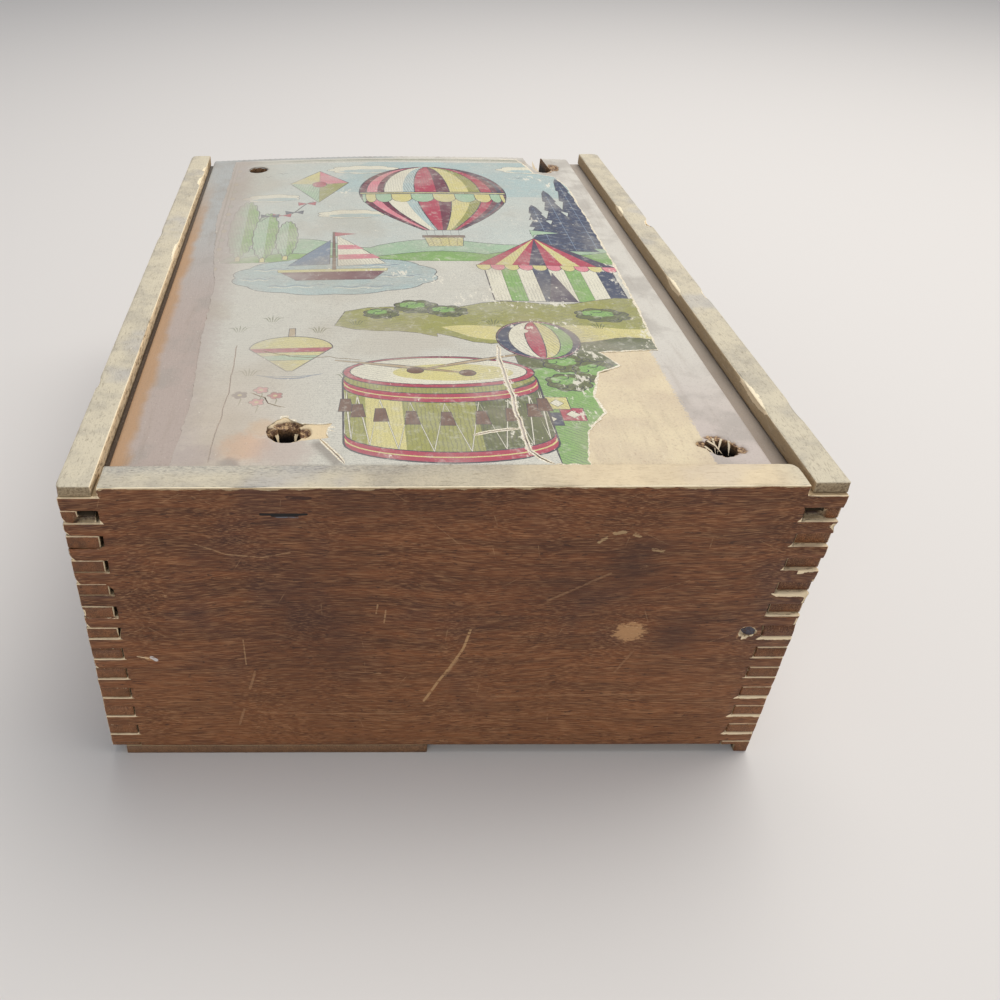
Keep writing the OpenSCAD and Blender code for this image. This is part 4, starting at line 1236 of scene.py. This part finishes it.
scuffs = [(9, -13, 7, 5), (17, -34, 6, 8), (30, -32, 7, 5), (40, -38, 6, 4), (54, -36, 8, 4), (50, -54, 9, 4),
          (36, -58, 8, 4), (-8, -6, 7, 5), (70, 123, 7, 6), (79, 112, 4, 6), (62, 60, 6, 4),
          (24.5, -110, 2.5, 40), (60, -78, 9, 5), (50, -100, 6, 10), (47, -122, 6, 9), (83, -60, 5, 14),
          (85, -10, 4, 22), (-30, 100, 6, 4)]


def ribbon(points, width, seed):
    """The narrow opening along a tear."""
    line = rough(points, 1.2, 0.5, seed, closed=False)
    last = len(line) - 1
    return strip(line, [width / 2 * min(1, 0.3 + 0.35 * min(i, last - i)) for i in range(last + 1)])


cuts = [rough(arc(*FAR_LEFT, 5.4, 5.6), 0.6, 0.4, 21), rough(patch, 0.7, 0.5, 22)]
cuts += [ribbon(points, width, 30 + k) for k, (points, width) in enumerate(tears)]
torn_rims = [ribbon(points, width + 1.1, 30 + k) for k, (points, width) in enumerate(tears[:3])]
loops = [outline, inner] + cuts + torn_rims + [shape[0] for shape in picture]
spread = [Vector((x, y)) for x in rows(-90, 87, 2.6) for y in rows(-149.6, 156.6, 2.6)]
corners, triangles, inside = partition(loops, spread)
middles = [(sum(corners[i].x for i in t) / len(t), sum(corners[i].y for i in t) / len(t)) for t in triangles]
order = sorted(range(len(triangles)), key=lambda i: middles[i][1])
centres = [middles[i] for i in order]
heights = [y for x, y in centres]
kept = set(held(centres, heights, outline))
for cut in cuts:
    kept.difference_update(held(centres, heights, cut))
whole = set(held(centres, heights, inner))
torn_edge = {i for i in kept if centres[i][0] > 32 and i not in whole}
upper_rim = held(centres, heights, rough(grow(turned_left([Vector(p) for p in patch]), 0.7), 0.7, 0.5, 24))
torn_edge.update(i for i in upper_rim if i in kept and centres[i][0] > -52 and centres[i][1] > -134.6)
for rim in torn_rims:
    torn_edge.update(i for i in held(centres, heights, rim) if i in kept)
looks = {i: ("torn", 0.0, 0.0) for i in torn_edge}
for points, name, hatch, angle in reversed(picture):
    uncovered = [i for i in held(centres, heights, points) if i in kept and i not in looks]
    looks.update({i: (name, hatch, angle) for i in uncovered})
shown = [(triangles[order[i]], looks.get(i, ("ground", 0.25, 0.0))) for i in sorted(kept)]

# Where the paper curls up along its tears: x and y, reach, height
curls = [crack[k] + (3.2, lift) for k, lift in ((1, 0.25), (3, 0.3), (5, 0.2), (6, 0.35), (8, 0.4))]
curls += [(-52, -80, 3, 0.35), (-36, -81.6, 3, 0.3), (-57, -110, 3, 0.4), (-44, -125, 3.5, 0.3),
          (-31, -144, 3, 0.3), (60, -91, 3, 0.3), (54, -112, 3, 0.35), (66, -80, 3, 0.3),
          (-35, -130, 2.5, 0.3)]


def sheet_under(x, y):
    """Height of the paper's underside: on the lid, lifted a little along its tears."""
    lift = 0.03
    for cx, cy, reach, height in curls:
        away = math.hypot(x - cx, y - cy) / reach
        if away < 1:
            lift = max(lift, height * (1 - away * away) ** 2)
    lift += 0.05 * max(0, noise.noise(Vector((x / 7, y / 7, 4))))
    return min(BOX_TOP - 0.03 - PAPER, lid_top(x, y) + lift)


sheet = slab("toy_print", corners, [triangle for triangle, look in shown],
             lambda x, y: sheet_under(x, y) + PAPER, sheet_under)
ink_marks = sheet.data.color_attributes.new("ink", "FLOAT_COLOR", "CORNER")
rule_marks = sheet.data.color_attributes.new("ruling", "FLOAT_COLOR", "CORNER")
tones = {name: colour(code) for name, code in INKS.items()}
for face in sheet.data.polygons:
    name, hatch, angle = shown[face.index][1] if face.index < len(shown) else ("torn", 0.0, 0.0)
    for loop in face.loop_indices:
        ink_marks.data[loop].color = tones[name]
        rule_marks.data[loop].color = (hatch, angle, float(name == "torn"), 1.0)
scuff_marks = sheet.data.color_attributes.new("scuffs", "FLOAT_COLOR", "POINT")
for index, vertex in enumerate(sheet.data.vertices):
    x, y = vertex.co.x / MM, vertex.co.y / MM
    worn = max(math.exp(-((x - cx) / rx) ** 2 - ((y - cy) / ry) ** 2) for cx, cy, rx, ry in scuffs)
    scuff_marks.data[index].color = (worn, 0.0, 0.0, 1.0)

paper = Finish("printed paper")
ink = paper.node("Attribute", {}, attribute_name="ink").outputs["Color"]
hatch, angle, torn = paper.attribute("ruling")[:3]
x_place, y_place = paper.node("SeparateXYZ", {0: paper.place}).outputs[:2]
cloud = paper.noise(paper.place, 0.04, 4.0, 0.6)
mottle = paper.noise(paper.place, 0.35, 4.0, 0.65)
stipple = paper.noise(paper.place, 2.2, 2.0, 0.6)
turn = paper.times(angle, math.pi)
across = paper.plus(paper.times(x_place, paper.maths("SINE", turn)),
                    paper.times(y_place, paper.maths("COSINE", turn)))
across = paper.plus(across, paper.times(mottle, 2.2))
lines = paper.band(paper.maths("SINE", paper.times(across, 2 * math.pi / 1.35)), 0.25, 0.95)
lines = paper.times(lines, paper.band(cloud, 0.3, 0.6))
tone = paper.tint(ink, "403e45", paper.times(lines, hatch), 0.75)
tone = paper.tint(tone, "44414a", paper.band(stipple, 0.46, 0.66), 0.3)
tone = paper.tint(tone, "cfccbe", paper.band(mottle, 0.5, 0.75), 0.45)
faded = paper.times(paper.band(cloud, 0.42, 0.7), 0.3)
faded = paper.plus(faded, paper.times(paper.band(x_place, 0.0, -84.0), 0.42))
tone = paper.tint(tone, "c4c0b4", faded)
near_left = paper.times(paper.band(x_place, -30.0, -72.0), paper.band(y_place, -60.0, -130.0))
tone = paper.tint(tone, "bfae9c", near_left, 0.6)
stains = [(-62.0, -139.0, 15.0, "cf9f78", 0.5), (-50.0, -142.0, 17.0, "b3a196", 0.6),
          (-57.0, -128.0, 9.0, "c9a883", 0.5), (-77.0, -143.0, 13.0, "a08f8e", 0.45),
          FAR_LEFT + (9.5, "7a5234", 0.75), (-66.0, -148.0, 6.0, "77706f", 0.5)]
for x, y, reach, code, strength in stains:
    gap = paper.plus(paper.distance((x, y, 118.0)), paper.times(mottle, reach * 0.5))
    stain = paper.band(gap, reach, reach * 0.5)
    tone = paper.tint(tone, code, stain, strength)
sheet_flat = paper.node("CombineXYZ", {0: x_place, 1: y_place}).outputs[0]
smudge = paper.band(paper.gap(sheet_flat, (-39.0, -138.5), (-33.6, -148.0)), 3.5, 0.5)
tone = paper.tint(tone, "74685e", smudge, 0.6)
edge_fade = paper.plus(x_place, paper.times(mottle, 12.0))
tone = paper.tint(tone, "ada198", paper.band(edge_fade, -66.0, -79.0), 0.75)
darkening = paper.times(paper.band(paper.noise(paper.place, 0.018, 3.0, 0.6), 0.5, 0.66), 0.3)
tone = paper.tint(tone, "a89c88", darkening)
scuffed = paper.attribute("scuffs")[0]
chips = paper.noise(paper.vector("MULTIPLY", paper.place, (1.0, 0.45, 1.0)), 0.45, 5.0, 0.75)
lost = paper.plus(chips, paper.times(scuffed, 0.17))
tone = paper.tint(tone, "dcd6c4", paper.band(lost, 0.655, 0.7), 0.85)
pepper = paper.noise(paper.place, 1.3, 3.0, 0.8)
tone = paper.tint(tone, "746c68", paper.band(pepper, 0.52, 0.66), 0.17)
fibres = paper.shades(paper.band(stipple, 0.4, 0.65), "cdbfa2", "efe8d6")
tone = paper.mix(torn, tone, fibres)
height = paper.plus(paper.times(mottle, 0.7), paper.times(stipple, 0.3))
gloss = paper.blend(mottle, 0.42, 0.62)
sheet.data.materials.append(paper.finish(tone, gloss, paper.relief(height, 0.12, 0.6)))
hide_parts("lid_print")
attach(sheet, "lid")


# Studio
# A plain pale floor and soft light from above, with the camera where the photograph was taken.

FOCAL_PIXELS = 924
PICTURE_PIXELS = 1000
SENSOR = 36
AXIS_PIXEL_X = 333.3
CAMERA_PLACE = Vector((-33.4, -377.6, 273.8)) * MM
FLOOR_SIZE = 6
bpy.ops.mesh.primitive_plane_add(size=FLOOR_SIZE)
floor = bpy.context.object
floor.name = "floor"
pale = Finish("pale floor")
pale.finish(colour("d9d5d0"), 0.75, pale.relief(pale.noise(pale.place, 0.02, 2.0), 0.1))
floor.data.materials.append(pale.material)
floor.select_set(False)


def soft_light(name, place, size, power, tint):
    """A square light that faces the box."""
    lamp = bpy.data.lights.new(name, "AREA")
    lamp.size = size
    lamp.energy = power
    lamp.color = tint
    light = bpy.data.objects.new(name, lamp)
    light.location = place
    light.rotation_euler = (Vector((0, 0, 0.08)) - Vector(place)).to_track_quat("-Z", "Y").to_euler()
    bpy.context.scene.collection.objects.link(light)


soft_light("overhead light", (0.5, 0.45, 1.6), 1.6, 30, (1.0, 0.97, 0.93))
soft_light("front light", (-0.7, -1.9, 0.9), 1.2, 14, (0.93, 0.96, 1.0))
world = bpy.data.worlds.new("room light")
bpy.context.scene.world = world
world.use_nodes = True
world.node_tree.nodes["Background"].inputs["Color"].default_value = (0.86, 0.9, 1.0, 1)
world.node_tree.nodes["Background"].inputs["Strength"].default_value = 0.35

lens = bpy.data.cameras.new("camera")
lens.sensor_width = SENSOR
lens.lens = FOCAL_PIXELS / PICTURE_PIXELS * SENSOR
lens.shift_x = 0.5 - AXIS_PIXEL_X / PICTURE_PIXELS
lens.clip_start = 0.01
camera = bpy.data.objects.new("camera", lens)
bpy.context.scene.collection.objects.link(camera)
pitch, yaw, roll = math.radians(36.48), math.radians(0.29), math.radians(-0.37)
turn = Matrix.Rotation(yaw, 4, "Z") @ Matrix.Rotation(math.pi / 2 - pitch, 4, "X")
turn = turn @ Matrix.Rotation(roll, 4, "Z")
camera.matrix_world = Matrix.Translation(CAMERA_PLACE) @ turn
bpy.context.scene.camera = camera
bpy.context.scene.view_settings.view_transform = "Standard"
